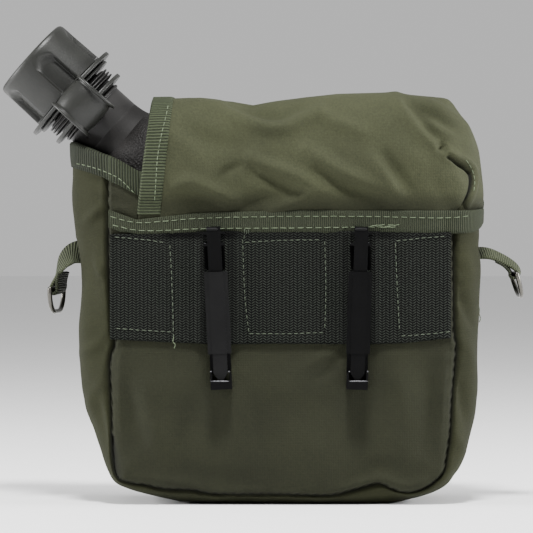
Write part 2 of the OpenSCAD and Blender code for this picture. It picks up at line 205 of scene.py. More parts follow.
def fix_normals(o):
    bm = bmesh.new()
    bm.from_mesh(o.data)
    bmesh.ops.recalc_face_normals(bm, faces=bm.faces)
    bm.to_mesh(o.data)
    bm.free()


def sweep(name, rings, mats, uv=None, caps=True):
    """Closed cross-sections along a path: rings is [along, round, 3]."""
    nu, nv = rings.shape[:2]
    faces = quads(nu, nv, close_v=True).tolist()
    if caps:
        faces += [list(range(nv))[::-1], [(nu - 1) * nv + k for k in range(nv)]]
    if uv is None:
        uv = lattice_uv(length_along(rings.mean(axis=1)), length_along(rings[nu // 2]))
    o = make(name, rings.reshape(-1, 3), faces, mats, uv.reshape(-1, 2))
    fix_normals(o)
    return o


def join_meshes(name, parts, mats):
    """Several (verts, faces) as one piece."""
    verts, faces, count = [], [], 0
    for v, f in parts:
        verts.append(v)
        faces += [[k + count for k in q] for q in f]
        count += len(v)
    return make(name, np.concatenate(verts), faces, mats)


def settle(o, body, nodes):
    """Tells the frame what a piece rides, which CAD nodes it stands for. Of what
    moves with the flap, the hem tape gets its body further down; the hood, its edge tape and the strap get none."""
    if body:
        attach(o, body)
    if nodes:
        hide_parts(*nodes)


trees = {}


def tree(name):
    """A piece's surface, for laying other pieces on it."""
    if name not in trees:
        mesh = bpy.data.objects[name].data
        trees[name] = BVHTree.FromPolygons([tuple(v.co / MM) for v in mesh.vertices],
                                           [tuple(q.vertices) for q in mesh.polygons])
    return trees[name]


def drop(names, x, z, way=1.0):
    """The point and normal where a line along way * Y first meets the named pieces at x, z."""
    best = None
    for n in names:
        hit, normal, _, far = tree(n).ray_cast(Vector((x, -300 * way, z)), Vector((0, way, 0)))
        if hit is not None and (best is None or far < best[2]):
            best = (arr(hit), arr(normal), far)
    return best


# ---- Materials ----
class Shader:
    def __init__(self, name, rough=0.8, metallic=0.0, shine=0.5):
        self.m = bpy.data.materials.new(name)
        self.m.use_nodes = True
        self.nt = self.m.node_tree
        self.bsdf = self.nt.nodes["Principled BSDF"]
        self.bsdf.inputs["Roughness"].default_value = rough
        self.bsdf.inputs["Metallic"].default_value = metallic
        self.bsdf.inputs["Specular IOR Level"].default_value = shine
        self.coord = self.nt.nodes.new("ShaderNodeTexCoord")
        self.place = self.coord.outputs["Object"]

    def put(self, socket, value):
        if isinstance(value, (int, float)):
            socket.default_value = value
        else:
            self.nt.links.new(value, socket)

    def math(self, op, a, b=0.0):
        n = self.nt.nodes.new("ShaderNodeMath")
        n.operation = op
        self.put(n.inputs[0], a)
        self.put(n.inputs[1], b)
        return n.outputs[0]

    def uv(self):
        n = self.nt.nodes.new("ShaderNodeSeparateXYZ")
        self.nt.links.new(self.coord.outputs["UV"], n.inputs[0])
        return n.outputs[0], n.outputs[1]

    def noise(self, size, detail, rough=0.5):
        n = self.nt.nodes.new("ShaderNodeTexNoise")
        n.inputs["Scale"].default_value = 1 / (size * MM)
        n.inputs["Detail"].default_value = detail
        n.inputs["Roughness"].default_value = rough
        self.nt.links.new(self.place, n.inputs["Vector"])
        return n.outputs["Fac"]

    def cells(self, size):
        n = self.nt.nodes.new("ShaderNodeTexVoronoi")
        n.inputs["Scale"].default_value = 1 / (size * MM)
        self.nt.links.new(self.place, n.inputs["Vector"])
        return n.outputs["Distance"]

    def wave(self, x, period):
        turn = self.math("SINE", self.math("MULTIPLY", x, TAU / (period * MM)))
        return self.math("MULTIPLY", self.math("ADD", turn, 1.0), 0.5)

    def blend(self, a, share_a, b, share_b):
        return self.math("ADD", self.math("MULTIPLY", a, share_a), self.math("MULTIPLY", b, share_b))

    def ramp(self, fac, colours, places):
        n = self.nt.nodes.new("ShaderNodeValToRGB")
        e = n.color_ramp.elements
        while len(e) < len(colours):
            e.new(0.5)
        for k, (c, at) in enumerate(zip(colours, places)):
            e[k].position = at
            e[k].color = (*c, 1)
        self.put(n.inputs["Fac"], fac)
        return n.outputs["Color"]

    def bump(self, height, depth):
        n = self.nt.nodes.new("ShaderNodeBump")
        n.inputs["Strength"].default_value = 1.0
        n.inputs["Distance"].default_value = depth * MM
        self.put(n.inputs["Height"], height)
        self.nt.links.new(n.outputs["Normal"], self.bsdf.inputs["Normal"])

    def colour(self, socket):
        """The base colour, deepened by the painted shade a piece carries as its dark value."""
        a = self.nt.nodes.new("ShaderNodeAttribute")
        a.attribute_name = "dark"
        n = self.nt.nodes.new("ShaderNodeVectorMath")
        n.operation = "SCALE"
        self.nt.links.new(socket, n.inputs[0])
        self.nt.links.new(self.math("SUBTRACT", 1.0, a.outputs["Fac"]), n.inputs["Scale"])
        self.nt.links.new(n.outputs["Vector"], self.bsdf.inputs["Base Color"])


def times(c, k):
    return tuple(x * k for x in c)


def cloth_material(name, colour, rough=0.85):
    s = Shader(name, rough, shine=0.18)
    u, v = s.uv()
    weave = s.math("MULTIPLY", s.wave(u, 0.9), s.wave(v, 0.9))
    lumps = s.noise(1.1, 3, 0.65)
    fade = s.noise(38, 2)
    mix = s.blend(lumps, 0.6, fade, 0.4)
    s.colour(s.ramp(mix, [times(colour, 0.68), colour, times(colour, 1.36)], [0.3, 0.5, 0.7]))
    s.bump(s.blend(weave, 0.35, lumps, 0.8), 0.2)
    return s.m


def tape_material(name, colour, period):
    s = Shader(name, 0.8, shine=0.18)
    u, _ = s.uv()
    rib = s.wave(u, period)
    lumps = s.noise(1.3, 3, 0.6)
    mix = s.blend(rib, 0.6, lumps, 0.4)
    # Painted shade and light: the colour darkens in the grooves between the ribs and lightens on their crests,
    # besides the bump
    s.colour(s.ramp(mix, [times(colour, 0.3), colour, times(colour, 1.35)], [0.22, 0.5, 0.8]))
    s.bump(s.math("ADD", rib, s.math("MULTIPLY", lumps, 0.5)), 0.4)
    return s.m


def web_material(name, dark, light):
    """Herringbone webbing: rows that zigzag along the strap, in upright columns."""
    s = Shader(name, 0.8, shine=0.07)
    u, v = s.uv()
    zig = s.math("PINGPONG", u, 0.002)
    row = s.wave(s.math("ADD", v, s.math("MULTIPLY", zig, 0.62)), 1.36)
    column = s.math("ABSOLUTE", s.math("SUBTRACT", s.math("MULTIPLY", zig, 1000.0), 1.0))
    column = s.math("SUBTRACT", 1.0, s.math("POWER", column, 2.4))
    lumps = s.noise(0.9, 2, 0.6)
    mix = s.math("MULTIPLY", s.blend(row, 0.75, lumps, 0.3),
                 s.math("ADD", s.math("MULTIPLY", column, 0.72), 0.36))
    s.colour(s.ramp(mix, [times(dark, 0.3), dark, light], [0.2, 0.42, 0.74]))
    s.bump(s.math("MULTIPLY", row, s.math("ADD", s.math("MULTIPLY", column, 0.6), 0.4)), 0.6)
    return s.m


def plain_material(name, colour, rough, size=0.8, depth=0.05, spread=0.2, metallic=0.0, pebbles=0.0,
                   shine=0.3):
    s = Shader(name, rough, metallic, shine)
    lumps = s.noise(size, 3, 0.6)
    big = s.noise(size * 14, 2)
    mix = s.blend(lumps, 0.5, big, 0.5)
    s.colour(s.ramp(mix, [times(colour, 1 - spread), times(colour, 1 + spread)], [0.35, 0.65]))
    if pebbles:
        s.bump(s.math("ADD", s.cells(pebbles), s.math("MULTIPLY", lumps, 0.4)), depth)
    else:
        s.bump(lumps, depth)
    return s.m


olive = (0.0135, 0.0147, 0.0072)
cloth = cloth_material("cover_cloth", olive)
# The gussets' cloth is a slightly lighter, greener copy of the cover cloth, tuned to their sidelit look: painted
# light
side_cloth = cloth_material("side_cloth", (0.0142, 0.0155, 0.0062), 0.92)
# The hood's cloth is a much lighter copy of the cover cloth: painted light on its lit top
hood_cloth = cloth_material("hood_cloth", (0.031, 0.034, 0.0165))
pile = plain_material("pile", (0.04, 0.045, 0.028), 0.95, size=1.6, depth=1.2, spread=0.4)
binding = tape_material("binding", (0.03, 0.0375, 0.019), 1.62)
hem_binding = tape_material("hem_binding", (0.022, 0.0268, 0.0138), 1.02)
mouth_tape = tape_material("mouth_tape", (0.0205, 0.0255, 0.0135), 1.62)
ring_tape_mat = tape_material("ring_tape", (0.04, 0.047, 0.025), 1.2)
web = web_material("webbing", (0.0048, 0.0054, 0.0045), (0.023, 0.0262, 0.0215))
thread = plain_material("thread", (0.088, 0.112, 0.066), 0.7, size=0.5, depth=0.1)
dull_thread = plain_material("dull_thread", (0.05, 0.062, 0.042), 0.75, size=0.5, depth=0.1)
bladder_mat = plain_material("bladder", (0.0105, 0.0097, 0.0092), 0.6, size=0.8, depth=0.4, spread=0.35,
                             pebbles=1.2, shine=0.14)
neck_mat = plain_material("neck_plastic", (0.0125, 0.0118, 0.0112), 0.45, size=1.2, depth=0.05, shine=0.3)
cap_mat = plain_material("cap_plastic", (0.0108, 0.0112, 0.0096), 0.42, size=1.0, depth=0.08, spread=0.3,
                         shine=0.32)
rubber = plain_material("rubber", (0.015, 0.015, 0.015), 0.8)
shoulder_mat = plain_material("neck_shoulder", (0.0115, 0.0108, 0.0102), 0.65, size=1.2, depth=0.08,
                              shine=0.16)
black = plain_material("clip_black", (0.0013, 0.0013, 0.0014), 0.5, size=0.7, depth=0.04, spread=0.3,
                       shine=0.07)
# Clip blacks: a still darker black that paints the shadow beside the bars, a lighter black that paints light on
# the left slide and the bars' tips, and a bright steel that paints glints
painted_shadow_black = plain_material("clip_shadow_black", (0.0006, 0.0006, 0.0006), 0.7, size=0.7, depth=0.04,
                            shine=0.01)
lit_black = plain_material("clip_worn", (0.0034, 0.0034, 0.0035), 0.5, size=0.7, depth=0.05, spread=0.3,
                            shine=0.12)
glint_steel = plain_material("clip_bright", (0.08, 0.08, 0.084), 0.4, size=0.6, depth=0.04, metallic=1.0)
nickel = plain_material("nickel", (0.1, 0.096, 0.085), 0.36, size=1.2, depth=0.03, metallic=1.0)


# ---- Cover ----
def mouth_z(x):
    return np.interp(x, [-111, -84, -72], [189.5, 179.5, 172.5])


PARTS_N = (170, 160, 158)


def three_parts(left, bottom, right):
    """A smooth line down the left, along the bottom and up the right, as its three parts."""
    line = curve(left + bottom + right)
    a, b = (16 * (len(left) - 1), 16 * (len(left) + len(bottom) - 1))
    return [even(q, n) for q, n in zip((line[:a + 1], line[a:b + 1], line[b:]), PARTS_N)]


def whole(parts):
    return np.concatenate([parts[0], parts[1][1:], parts[2][1:]])


outer_line = whole(three_parts(
    [(-108.9, 188.7), (-108.1, 175), (-107.3, 143), (-106.3, 137), (-104.6, 126), (-103, 104.6), (-103.6, 90),
     (-103.6, 64), (-102, 54), (-97.8, 39.4), (-93.6, 27), (-90.2, 17), (-86, 10.6)],
    [(-78, 7), (-66, 3.6), (-54, 0.8), (-46, 0), (0, 0), (40, 0), (58, 0.2), (70, 2.6), (81, 6), (88.5, 10)],
    [(93, 15.4), (96.8, 21.6), (100.7, 33), (104, 45.7), (105.2, 59), (105.1, 72), (105.6, 81), (106.4, 98.7),
     (106.8, 113), (107, 126), (106.2, 134), (105.8, 146), (105.7, 172.5)]))
# Where the panels are sewn to the gusset: -1 is the belt side, 1 the outer side
seams = {
    -1: three_parts(
        [(-88.9, 181.3), (-88.6, 160), (-88, 120), (-86, 91), (-85, 85), (-87.6, 75), (-87.4, 60), (-86.8, 44),
         (-86.8, 28), (-84.5, 15)],
        [(-76, 11.4), (-70, 10.8), (-60, 8.6), (-45, 8), (-33, 6), (0, 5.8), (26, 5.2), (38, 7.6), (49, 10.8),
         (53.5, 11.2), (60, 8.2), (66.4, 6.4), (74, 7.6), (81, 11.8)],
        [(86.2, 17.2), (87.6, 24), (89.6, 38), (90.4, 55), (91.9, 72), (92.6, 84), (91.4, 92), (91, 120),
         (90.8, 155), (90.8, 172.5)]),
    1: three_parts(
        [(-88.9, 181.3), (-88.6, 160), (-88.2, 120), (-88, 80), (-88, 50), (-87, 30), (-82, 14)],
        [(-74, 8.6), (-50, 6.8), (0, 6.4), (50, 6.8), (72, 8.2)],
        [(82, 14), (88, 30), (90.2, 50), (91.4, 80), (91, 120), (90.8, 155), (90.8, 172.5)]),
}
Y_SEAM = 36.5


def seam_dip(d, along, width):
    """How far the cloth sinks at a seam, with the gathers beside it."""
    groove = np.exp(-(d / width) ** 2)
    ripple = np.sin(along * TAU / 9.5 + 1.7 * np.sin(along / 23)) * (0.6 + 0.4 * np.sin(along / 31))
    return 2.5 * groove - np.exp(-d / 6.5) * (1 - groove) * (0.5 * ripple + 0.3)


def front_lean(z):
    """How far the outer side leans in towards the mouth."""
    return 2 * np.clip((z - 135.5) / 48, 0, 1)


def fold_line(xz, line, width, height, taper=0.3):
    """A soft ridge along a line of (x, z) points, or a valley where height is negative."""
    pts = even(curve(line, 6) if len(line) > 2 else arr(line), 14)  # short ones are straight
    best = np.full(xz.shape[:-1], 1e9)
    place = np.zeros(xz.shape[:-1])
    for k in range(len(pts) - 1):
        ab = pts[k + 1] - pts[k]
        q = xz - pts[k]
        t = np.clip((q @ ab) / (ab @ ab), 0, 1)
        d = np.linalg.norm(q - t[..., None] * ab, axis=-1)
        closer = d < best
        best = np.where(closer, d, best)
        place = np.where(closer, (k + t) / (len(pts) - 1), place)
    ends = taper + (1 - taper) * np.sin(math.pi * np.clip(place, 0.02, 0.98))
    return height * np.exp(-(best / width) ** 2) * ends


gusset_folds = [
    ([(-106.5, 172), (-106.6, 160), (-105.8, 148)], 3.5, 1.0),
    ([(-90.8, 157), (-96, 152), (-101.4, 146.8)], 2.5, 1.1),
    ([(-97, 128), (-93, 122), (-89.3, 117)], 2.5, 1.0), ([(-99, 140), (-99, 120), (-98, 100)], 4, -1.0),
    ([(-101, 118), (-100, 95), (-99, 70)], 4, 1.2), ([(-91, 88), (-96, 82), (-101, 78)], 3, 1.2),
    ([(-92, 66), (-97, 56), (-99, 44)], 3.5, 1.2), ([(-96, 62), (-93, 44), (-90, 30)], 3, -1.2),
    ([(96, 140), (99, 122), (99, 104)], 4, 1.2), ([(94, 112), (99, 100), (103, 92)], 3, -1.1),
    ([(95, 90), (100, 76), (102, 60)], 4, 1.2), ([(94, 66), (97, 52), (99, 40)], 3, -1.1),
    ([(91, 40), (95, 30), (93, 20)], 3.5, 1.1), ([(93, 150), (100, 146), (105, 140)], 3, 0.9),
    ([(-90.8, 168), (-90.4, 162), (-89.5, 156)], 2.2, 1.3),
]


def gusset_points():
    """The gusset as it lies, without its seams' dips, and the painted shade along its seams."""
    steps = np.linspace(0, 1, 30) ** 1.35
    first = 0.25  # the angle at which the rounded cloth leaves the seam
    phi = first + (math.pi / 2 - first) * steps
    f = (np.sin(phi) - math.sin(first)) / (1 - math.sin(first))
    g = np.cos(phi) / math.cos(first)
    y_flat = 10 + 10 * (1 - smooth(outer_line[:, 1], 4, 40))
    half, plain, dark = [], [], []
    for side in (-1, 1):
        s = whole(seams[side])
        along = length_along(s)
        p = np.zeros((len(s), len(phi), 3))
        p[..., 0] = s[:, None, 0] + (outer_line - s)[:, None, 0] * f
        p[..., 2] = s[:, None, 1] + (outer_line - s)[:, None, 1] * f
        y = y_flat[:, None] + (Y_SEAM - y_flat)[:, None] * g
        if side > 0:
            y = y - front_lean(p[..., 2]) * g
        p[..., 1] = side * y
        step = np.linalg.norm(np.diff(p, axis=1), axis=2)
        d = np.concatenate([np.zeros((len(s), 1)), np.cumsum(step, axis=1)], axis=1)
        plain.append(p.copy())
        p[..., 1] -= side * seam_dip(d, along[:, None], 2.0)
        half.append(p)
        # Painted shade down in the seam, fading towards the top
        high = smooth(p[..., 2], 140, 158)
        dark.append((0.8 * np.exp(-(d / 1.3) ** 2) * (1 - 0.75 * high))[..., None])
    out = []
    for h in (half, plain, dark):
        flat = h[0][:, -1:] + (h[1][:, -1:] - h[0][:, -1:]) * np.linspace(0, 1, 14)[None, 1:-1, None]
        out.append(np.concatenate([h[0], flat, h[1][:, ::-1]], axis=1))
    return out


gusset_p, gusset_plain, gusset_painted_shade = gusset_points()
gusset_n = normals(gusset_p, (0, 0, 90))
from_edge = [np.minimum(np.arange(n), np.arange(n)[::-1]) for n in gusset_p.shape[:2]]
calm = smooth(from_edge[1], 0, 8)[None, :] * smooth(from_edge[0], 0, 8)[:, None]
push = calm * (0.9 * noise(gusset_p, 34, 3) + 0.4 * noise(gusset_p, 13, 5))
near = smooth(-gusset_p[..., 1], -4, 12) * calm
for line, w, h in gusset_folds:
    push += fold_line(gusset_p[..., [0, 2]], line, w, 1.5 * h) * near
gusset_p = gusset_p + gusset_n * push[..., None]
gusset_p[..., 2] = np.maximum(gusset_p[..., 2], 0)
gusset_uv = lattice_uv(length_along(outer_line), np.linspace(0, 84, gusset_p.shape[1]))
COVER_THICK = 3.4
gusset = grid("cover_gusset", gusset_p, normals(gusset_plain, (0, 0, 90)), [side_cloth, pile], gusset_uv,
              thick=COVER_THICK, dark=gusset_painted_shade[..., 0])


def dense_ends(total):
    """Places from 0 to 1 that lie closer together near both ends of a length."""
    s = [0.0]
    while s[-1] < total / 2:
        s.append(s[-1] + 0.45 + 1.1 * smooth(s[-1], 0, 12))
    s = arr(s) * (total / 2) / s[-1]
    return np.concatenate([s, total - s[::-1][1:]]) / total


def fraction(p, t):
    return at_length(p, t * length_along(p)[-1])


PANEL_WIDTH, PANEL_HEIGHT = 178, 168


def panel_points(side):
    """A panel's points, their UV places, and the painted shade in its seams and its crevice."""
    left, bottom, right = seams[side]
    xs = np.linspace(-88.9, 90.8, 200)
    top = np.stack([xs, mouth_z(xs)], axis=1)
    u, v = dense_ends(PANEL_WIDTH), dense_ends(PANEL_HEIGHT)
    cb, ct, cl, cr = fraction(bottom, u), fraction(top, u), fraction(left[::-1], v), fraction(right, v)
    uu, vv = u[:, None, None], v[None, :, None]
    corner = ((1 - uu) * (1 - vv) * bottom[0] + uu * (1 - vv) * bottom[-1]
              + (1 - uu) * vv * top[0] + uu * vv * top[-1])
    xz = (1 - vv) * cb[:, None] + vv * ct[:, None] + (1 - uu) * cl[None] + uu * cr[None] - corner
    seam = whole(seams[side])[::2]
    seam_s = length_along(whole(seams[side]))[::2]
    gap = np.linalg.norm(xz[:, :, None, :] - seam[None, None], axis=-1)
    nearest = gap.argmin(axis=2)
    d = gap.min(axis=2)
    depth = Y_SEAM + 1.4 * (1 - (1 - np.clip(d / 15, 0, 1)) ** 2)
    x, z = xz[..., 0], xz[..., 1]
    p = np.stack([x, depth, z], axis=-1)
    free = smooth(d, 0, 26)
    tuck = 0
    if side < 0:
        low = smooth(82 - z, 0, 26)
        crevice = np.clip((38 - z) / 20, 0, 1) * smooth(z, 9, 15)
        tuck = np.exp(-(np.abs(x + 86.2) / (0.5 + 3.2 * crevice)) ** 2) * smooth(crevice, 0, 0.15)
        depth = depth - 2.6 * tuck
        depth = depth + low * free * 2.2
        lumps = 0.8 * noise(p, 46, 11) + 0.3 * noise(p, 17, 12)
        depth = depth + smooth(d, 2, 16) * (1 - smooth(z, 66, 84)) * lumps
        for line, w, h in cover_folds:
            depth = depth + fold_line(xz, line, w, 1.35 * h) * smooth(d, 0, 5)
        # flat under the webbing and the hem
        depth = np.where(z > 80, np.minimum(depth, 37.85), depth)
        for line, w, h in corner_folds:
            depth = depth + fold_line(xz, line, w, h)
    else:
        depth = depth - front_lean(z) + free * (1 - smooth(z, 105, 150)) * 2.6
        lumps = 0.9 * noise(p, 50, 21) + 0.35 * noise(p, 18, 22)
        depth = depth + smooth(d, 2, 16) * (1 - smooth(z, 130, 150)) * lumps
    depth = depth - seam_dip(d, seam_s[nearest], 0.9)
    p = np.stack([x, side * depth, z], axis=-1)
    # Painted shade down in the seams, fading towards the top, and in the crevice at the lower left
    seam_painted_shade = 0.85 * np.exp(-(d / 0.75) ** 2) * (1 - 0.75 * smooth(z, 140, 158))
    return p, xz, np.clip(seam_painted_shade + 0.75 * tuck, 0, 0.85)


cover_folds = [
    ([(-82, 82), (-83, 60), (-82, 36)], 3.5, 1.0), ([(-80, 62), (-76, 44), (-70, 28)], 4.5, -1.3),
    ([(-76, 70), (-66, 48), (-60, 30)], 6, 1.0), ([(86, 82), (86, 60), (84, 30)], 3.5, 1.0),
    ([(80, 76), (80, 52), (77, 30)], 5, -1.1), ([(28, 5), (44, 11), (54, 13)], 3.2, 1.4),
    ([(54, 13), (66, 9), (78, 12)], 3.2, 1.2), ([(36, 14), (52, 20), (70, 18)], 5, -1.0),
    ([(-78, 15), (-60, 12), (-40, 9)], 3.5, 1.0), ([(-60, 22), (-36, 16), (-10, 12)], 6, -0.8),
    ([(-40, 56), (-50, 36), (-52, 20)], 7, -1.1), ([(-26, 60), (-20, 40), (-24, 24)], 8, 1.2),
    ([(0, 78), (-10, 50), (-6, 22)], 9, -0.9), ([(34, 82), (26, 70), (18, 64)], 2.6, -1.0),
    ([(30, 84), (20, 76), (12, 70)], 3, 0.9), ([(24, 56), (16, 36), (20, 18)], 9, 1.0),
    ([(52, 66), (44, 44), (44, 24)], 8, -1.0), ([(60, 80), (64, 60), (62, 40)], 7, 0.9),
]
corner_folds = [([(-88, 164), (-87.4, 158), (-85, 155)], 1.7, 1.0),
                ([(-87, 158.4), (-82, 155.6), (-76, 153)], 1.7, 1.1)]
panels = {}
for side, label, node in ((-1, "cover_back", "back_panel"), (1, "cover_front", "front_panel")):
    p, uv, dark = panel_points(side)
    n = np.zeros_like(p)
    n[..., 1] = side
    panels[side] = p
    settle(grid(label, p, n, [cloth, pile], uv, thick=COVER_THICK, dark=dark), "root", [node])
settle(gusset, "root", ["side_gusset", "pile_liner"])


# ---- Tapes ----
def tape(name, rows, n, thick, mat):
    """A tape on a surface: rows is [along, across, 3] on the cloth and n its outward directions. Both edges
    are soft."""
    nu, nv = rows.shape[:2]
    along = length_along(rows[:, nv // 2])
    lift = thick * (1 - 0.55 * np.abs(np.linspace(-1, 1, nv)) ** 8)
    wave = 0.12 * np.sin(along[:, None] / 9 + np.linspace(0, 2, nv)[None])
    lift = lift + wave * (0.5 + 0.5 * np.sin(along / 37))[:, None]
    top = rows + n * lift[..., None]
    return grid(name, top, n, [mat], lattice_uv(along, length_along(rows[nu // 2])), thick=thick * 0.9)


def plan_path(left, x_right, y_back, r, y_front=None, y_end=None):
    """The path along the back and round the right-hand side, seen from above. It goes on along the front, or
    ends at y_end on the side."""
    quarter = np.linspace(0, math.pi / 2, 24)
    x = x_right - r
    pts = [(left, y_back)] + [(x + r * math.sin(t), y_back + r - r * math.cos(t)) for t in quarter]
    if y_end is not None:
        return arr(pts + [(x_right, y_end)])
    return arr(pts + [(x + r * math.cos(t), y_front - r + r * math.sin(t)) for t in quarter] + [(left, y_front)])


def plan_normals(p):
    t = unit(np.gradient(p, axis=0))
    return np.stack([t[:, 1], -t[:, 0]], axis=1)


# The hem that holds the flap, along the back and round the right-hand corner
hem_path = even(np.concatenate([[(-88.9, -36.9)], plan_path(-80, 105.9, -37.9, 27.5, y_end=-10)]), 260)
hem_out = plan_normals(hem_path)
lengths = length_along(outer_line)
for below_mouth in (18, 22, 26, 30):  # kept outside the gusset's bulges at these heights
    k = int(np.searchsorted(lengths, lengths[-1] - below_mouth))
    away = gusset_p[None, k, :, :2] - hem_path[:, None]
    reach = np.einsum("ijk,ik->ij", away, hem_out)
    out = np.where(np.abs(np.cross(away, hem_out[:, None])) < 2.5, reach, -9).max(axis=1)
    hem_path = hem_path + hem_out * np.clip(out + 0.2, 0, 6)[:, None]
for axis in (0, 1):
    hem_path[:, axis] = np.convolve(np.pad(hem_path[:, axis], 4, "edge"), np.ones(9) / 9, "valid")
hem_x = hem_path[:, 0]
hem_turn = smooth(hem_path[:, 1], -37, -12)
hem_top = 1.4 * hem_turn + np.interp(hem_x, [-88.9, -73.9, -60, -43, 0, 93],
                                     [154.5, 149, 150.6, 152.4, 153.8, 153.8])
hem_low = 4.6 * hem_turn + np.interp(hem_x, [-88.9, -82, -72.6, -60, -20, 92],
                                     [145.2, 142.6, 141.2, 141.6, 142.4, 141.6])
hem_rows = []
for k in np.linspace(0, 1, 11):
    z = hem_low + (hem_top - hem_low) * k
    z = z + 0.25 * np.sin(hem_x / 7.0) * (1 - k)
    off = 0.9 + 0.5 * k + 0.25 * np.sin(hem_x / 15 + 1) * (1 - k)
    hem_rows.append(np.concatenate([hem_path + hem_out * off[:, None], z[:, None]], axis=1))
hem_rows = np.stack(hem_rows, axis=1)
hem_n = np.repeat(np.concatenate([hem_out, np.zeros((len(hem_out), 1))], axis=1)[:, None], 11, axis=1)
hem = tape("hem_back", hem_rows, hem_n, 1.1, hem_binding)
settle(hem, "root", ["back_hem"])


# The binding round the mouth
def rows_at(p, s, depth):
    k = np.clip(np.searchsorted(s, depth) - 1, 0, len(s) - 2)
    w = (depth - s[k]) / (s[k + 1] - s[k])
    return p[k] * (1 - w) + p[k + 1] * w


def mouth_loop(depth):
    """The cover's outside this far below its mouth, all the way round."""
    left = rows_at(gusset_p, lengths, depth)
    right = rows_at(gusset_p[::-1], lengths[-1] - lengths[::-1], depth)
    back, front = (rows_at(panels[s].transpose(1, 0, 2)[::-1], dense_ends(PANEL_HEIGHT) * PANEL_HEIGHT, depth)
                   for s in (-1, 1))
    loop = np.concatenate([back[3:-3], right[3:-3], front[::-1][3:-3], left[::-1][3:-3]])
    loop = even(np.concatenate([loop, loop[:1]]), 441)[:-1]
    for _ in range(4):
        loop = (np.roll(loop, 1, 0) + 2 * loop + np.roll(loop, -1, 0)) / 4
    return loop


mouth = {d: mouth_loop(d) for d in (0.0, 3.0, 6.0, 9.0, 12.0)}
edge_tangent = unit(np.roll(mouth[0.0], -1, 0) - np.roll(mouth[0.0], 1, 0))
mouth_out = unit(np.cross(edge_tangent, (0, 0, 1)))
# Across the tape, from its lower edge outside over the cover's edge to the one inside: depth below the mouth,
# and distance from the cloth
mouth_section = [(12, 0.1), (12, 0.85), (9, 1.05), (6, 1.05), (3, 1.05), (0, 1.05), (-1, 0.4), (-1.3, -1.4),
                 (-1.0, -3.3), (0, -4.2), (6, -4.3), (12, -4.2), (12, -3.4)]
mouth_across = np.cumsum([0, 1, 3, 3, 3, 3, 2, 2, 2, 2, 6, 6, 1]).astype(float)
mouth_rings = []
for depth, off in mouth_section:
    base = mouth[float(max(depth, 0))]
    off = off - 0.65 * max(off, 0) * smooth(base[:, 0], 92, 99)  # thinner under the hood's right side
    off = off + 0.12 * noise(base, 9, 31)
    mouth_rings.append(base + mouth_out * off[:, None] + arr((0, 0, max(-depth, 0))))
mouth_rings = np.stack(mouth_rings, axis=1)
mouth_rings = np.concatenate([mouth_rings, mouth_rings[:1]])
mouth_binding = sweep("mouth_binding_tape", mouth_rings, [mouth_tape],
                      lattice_uv(length_along(mouth_rings[:, 3]), mouth_across), caps=False)
# Painted shade: the binding's left part is darker, as it lies in shadow
set_painted_shade(mouth_binding, 0.42 * (1 - smooth(mouth_rings[..., 0], -100, -82)))
settle(mouth_binding, "root", ["mouth_binding"])

# ---- Hood: the flap ----
hood_left, hood_right, hood_corner = -74, 108.4, 27
hood_path = plan_path(hood_left, hood_right, -41.5, hood_corner, y_front=42.3)
hood_s = np.linspace(0, length_along(hood_path)[-1], 4000)
# columns lie closer together round the corner with the pleats
pace = np.cumsum(1 / (1.5 - 1.0 * smooth(hood_s, 140, 156) * (1 - smooth(hood_s, 186, 200))))
hood_s = np.interp(np.linspace(pace[0], pace[-1], 380), pace, hood_s)
hood_plan = at_length(hood_path, hood_s)
hood_s = length_along(hood_plan)
ridge_y, ridge_z = -7.0, 215
ridge_x = np.clip(hood_plan[:, 0], hood_left, 62)
side_from = hood_right - hood_left - hood_corner
side_to = hood_s[-1] - side_from
off_back = smooth(hood_s, side_from - 8, side_from + 34)
w_front = smooth(hood_s, side_to - 34, side_to + 8)
w_side = off_back * (1 - w_front)
w_back = 1 - off_back
# Sections of the hood, from its hem up to the ridge: how far in from its plan, and how high; then how far in
# the ridge lies
profiles = {
    "back": ([(2.6, 149), (2.5, 153), (1.4, 157), (-0.6, 162), (-1.8, 169), (-1.6, 177), (-0.4, 186),
              (1.6, 195), (4.4, 202.5), (8.6, 208.4), (14, 212.2), (20.5, 214.2), (27, 214.9), (34.5, 215)],
             34.5),
    "side": ([(1.2, 146.5), (1.2, 151), (0.5, 157), (0.5, 163), (1.7, 172), (3, 180), (4.4, 186), (6.6, 192),
              (10.6, 199.3), (14.6, 207), (16.8, 211), (19.5, 213.4), (25, 214.6), (33, 214.6), (46.4, 215)],
             46.4),
    "front": ([(0, 147.6), (0, 156), (0, 168), (0.4, 180), (2.4, 190), (7, 200), (13.5, 207.5), (22, 212),
               (32, 214.4), (41, 215), (49.3, 215)], 49.3),
}
rows_q = 132
shape = {}  # the same sections, with the way in to the ridge as 0 to 1
for k, (pts, total) in profiles.items():
    line = even(curve(pts, 8), rows_q)
    shape[k] = np.stack([line[:, 0] / total, line[:, 1]], axis=1)
# the lowest rows stay tucked behind the hem until the hood has turned the corner
tucked = 1 - smooth(np.arange(rows_q), 9, 26)[None, :]
late = smooth(hood_s, side_from + 33, side_from + 43)[:, None]
front_part = w_front[:, None]
side_part = w_side[:, None] * (1 - tucked) + (1 - w_front[:, None]) * late * tucked
back_part = w_back[:, None] * (1 - tucked) + (1 - w_front[:, None]) * (1 - late) * tucked
w_all = {"back": back_part, "side": side_part, "front": front_part}
w_sum = sum(w_all.values())
inset, level = (sum(w_all[k] / w_sum * shape[k][None, :, axis] for k in shape) for axis in (0, 1))
hood_xy = hood_plan[:, None, :] + inset[..., None] * (
    np.stack([ridge_x, np.full_like(ridge_x, ridge_y)], axis=1) - hood_plan)[:, None, :]
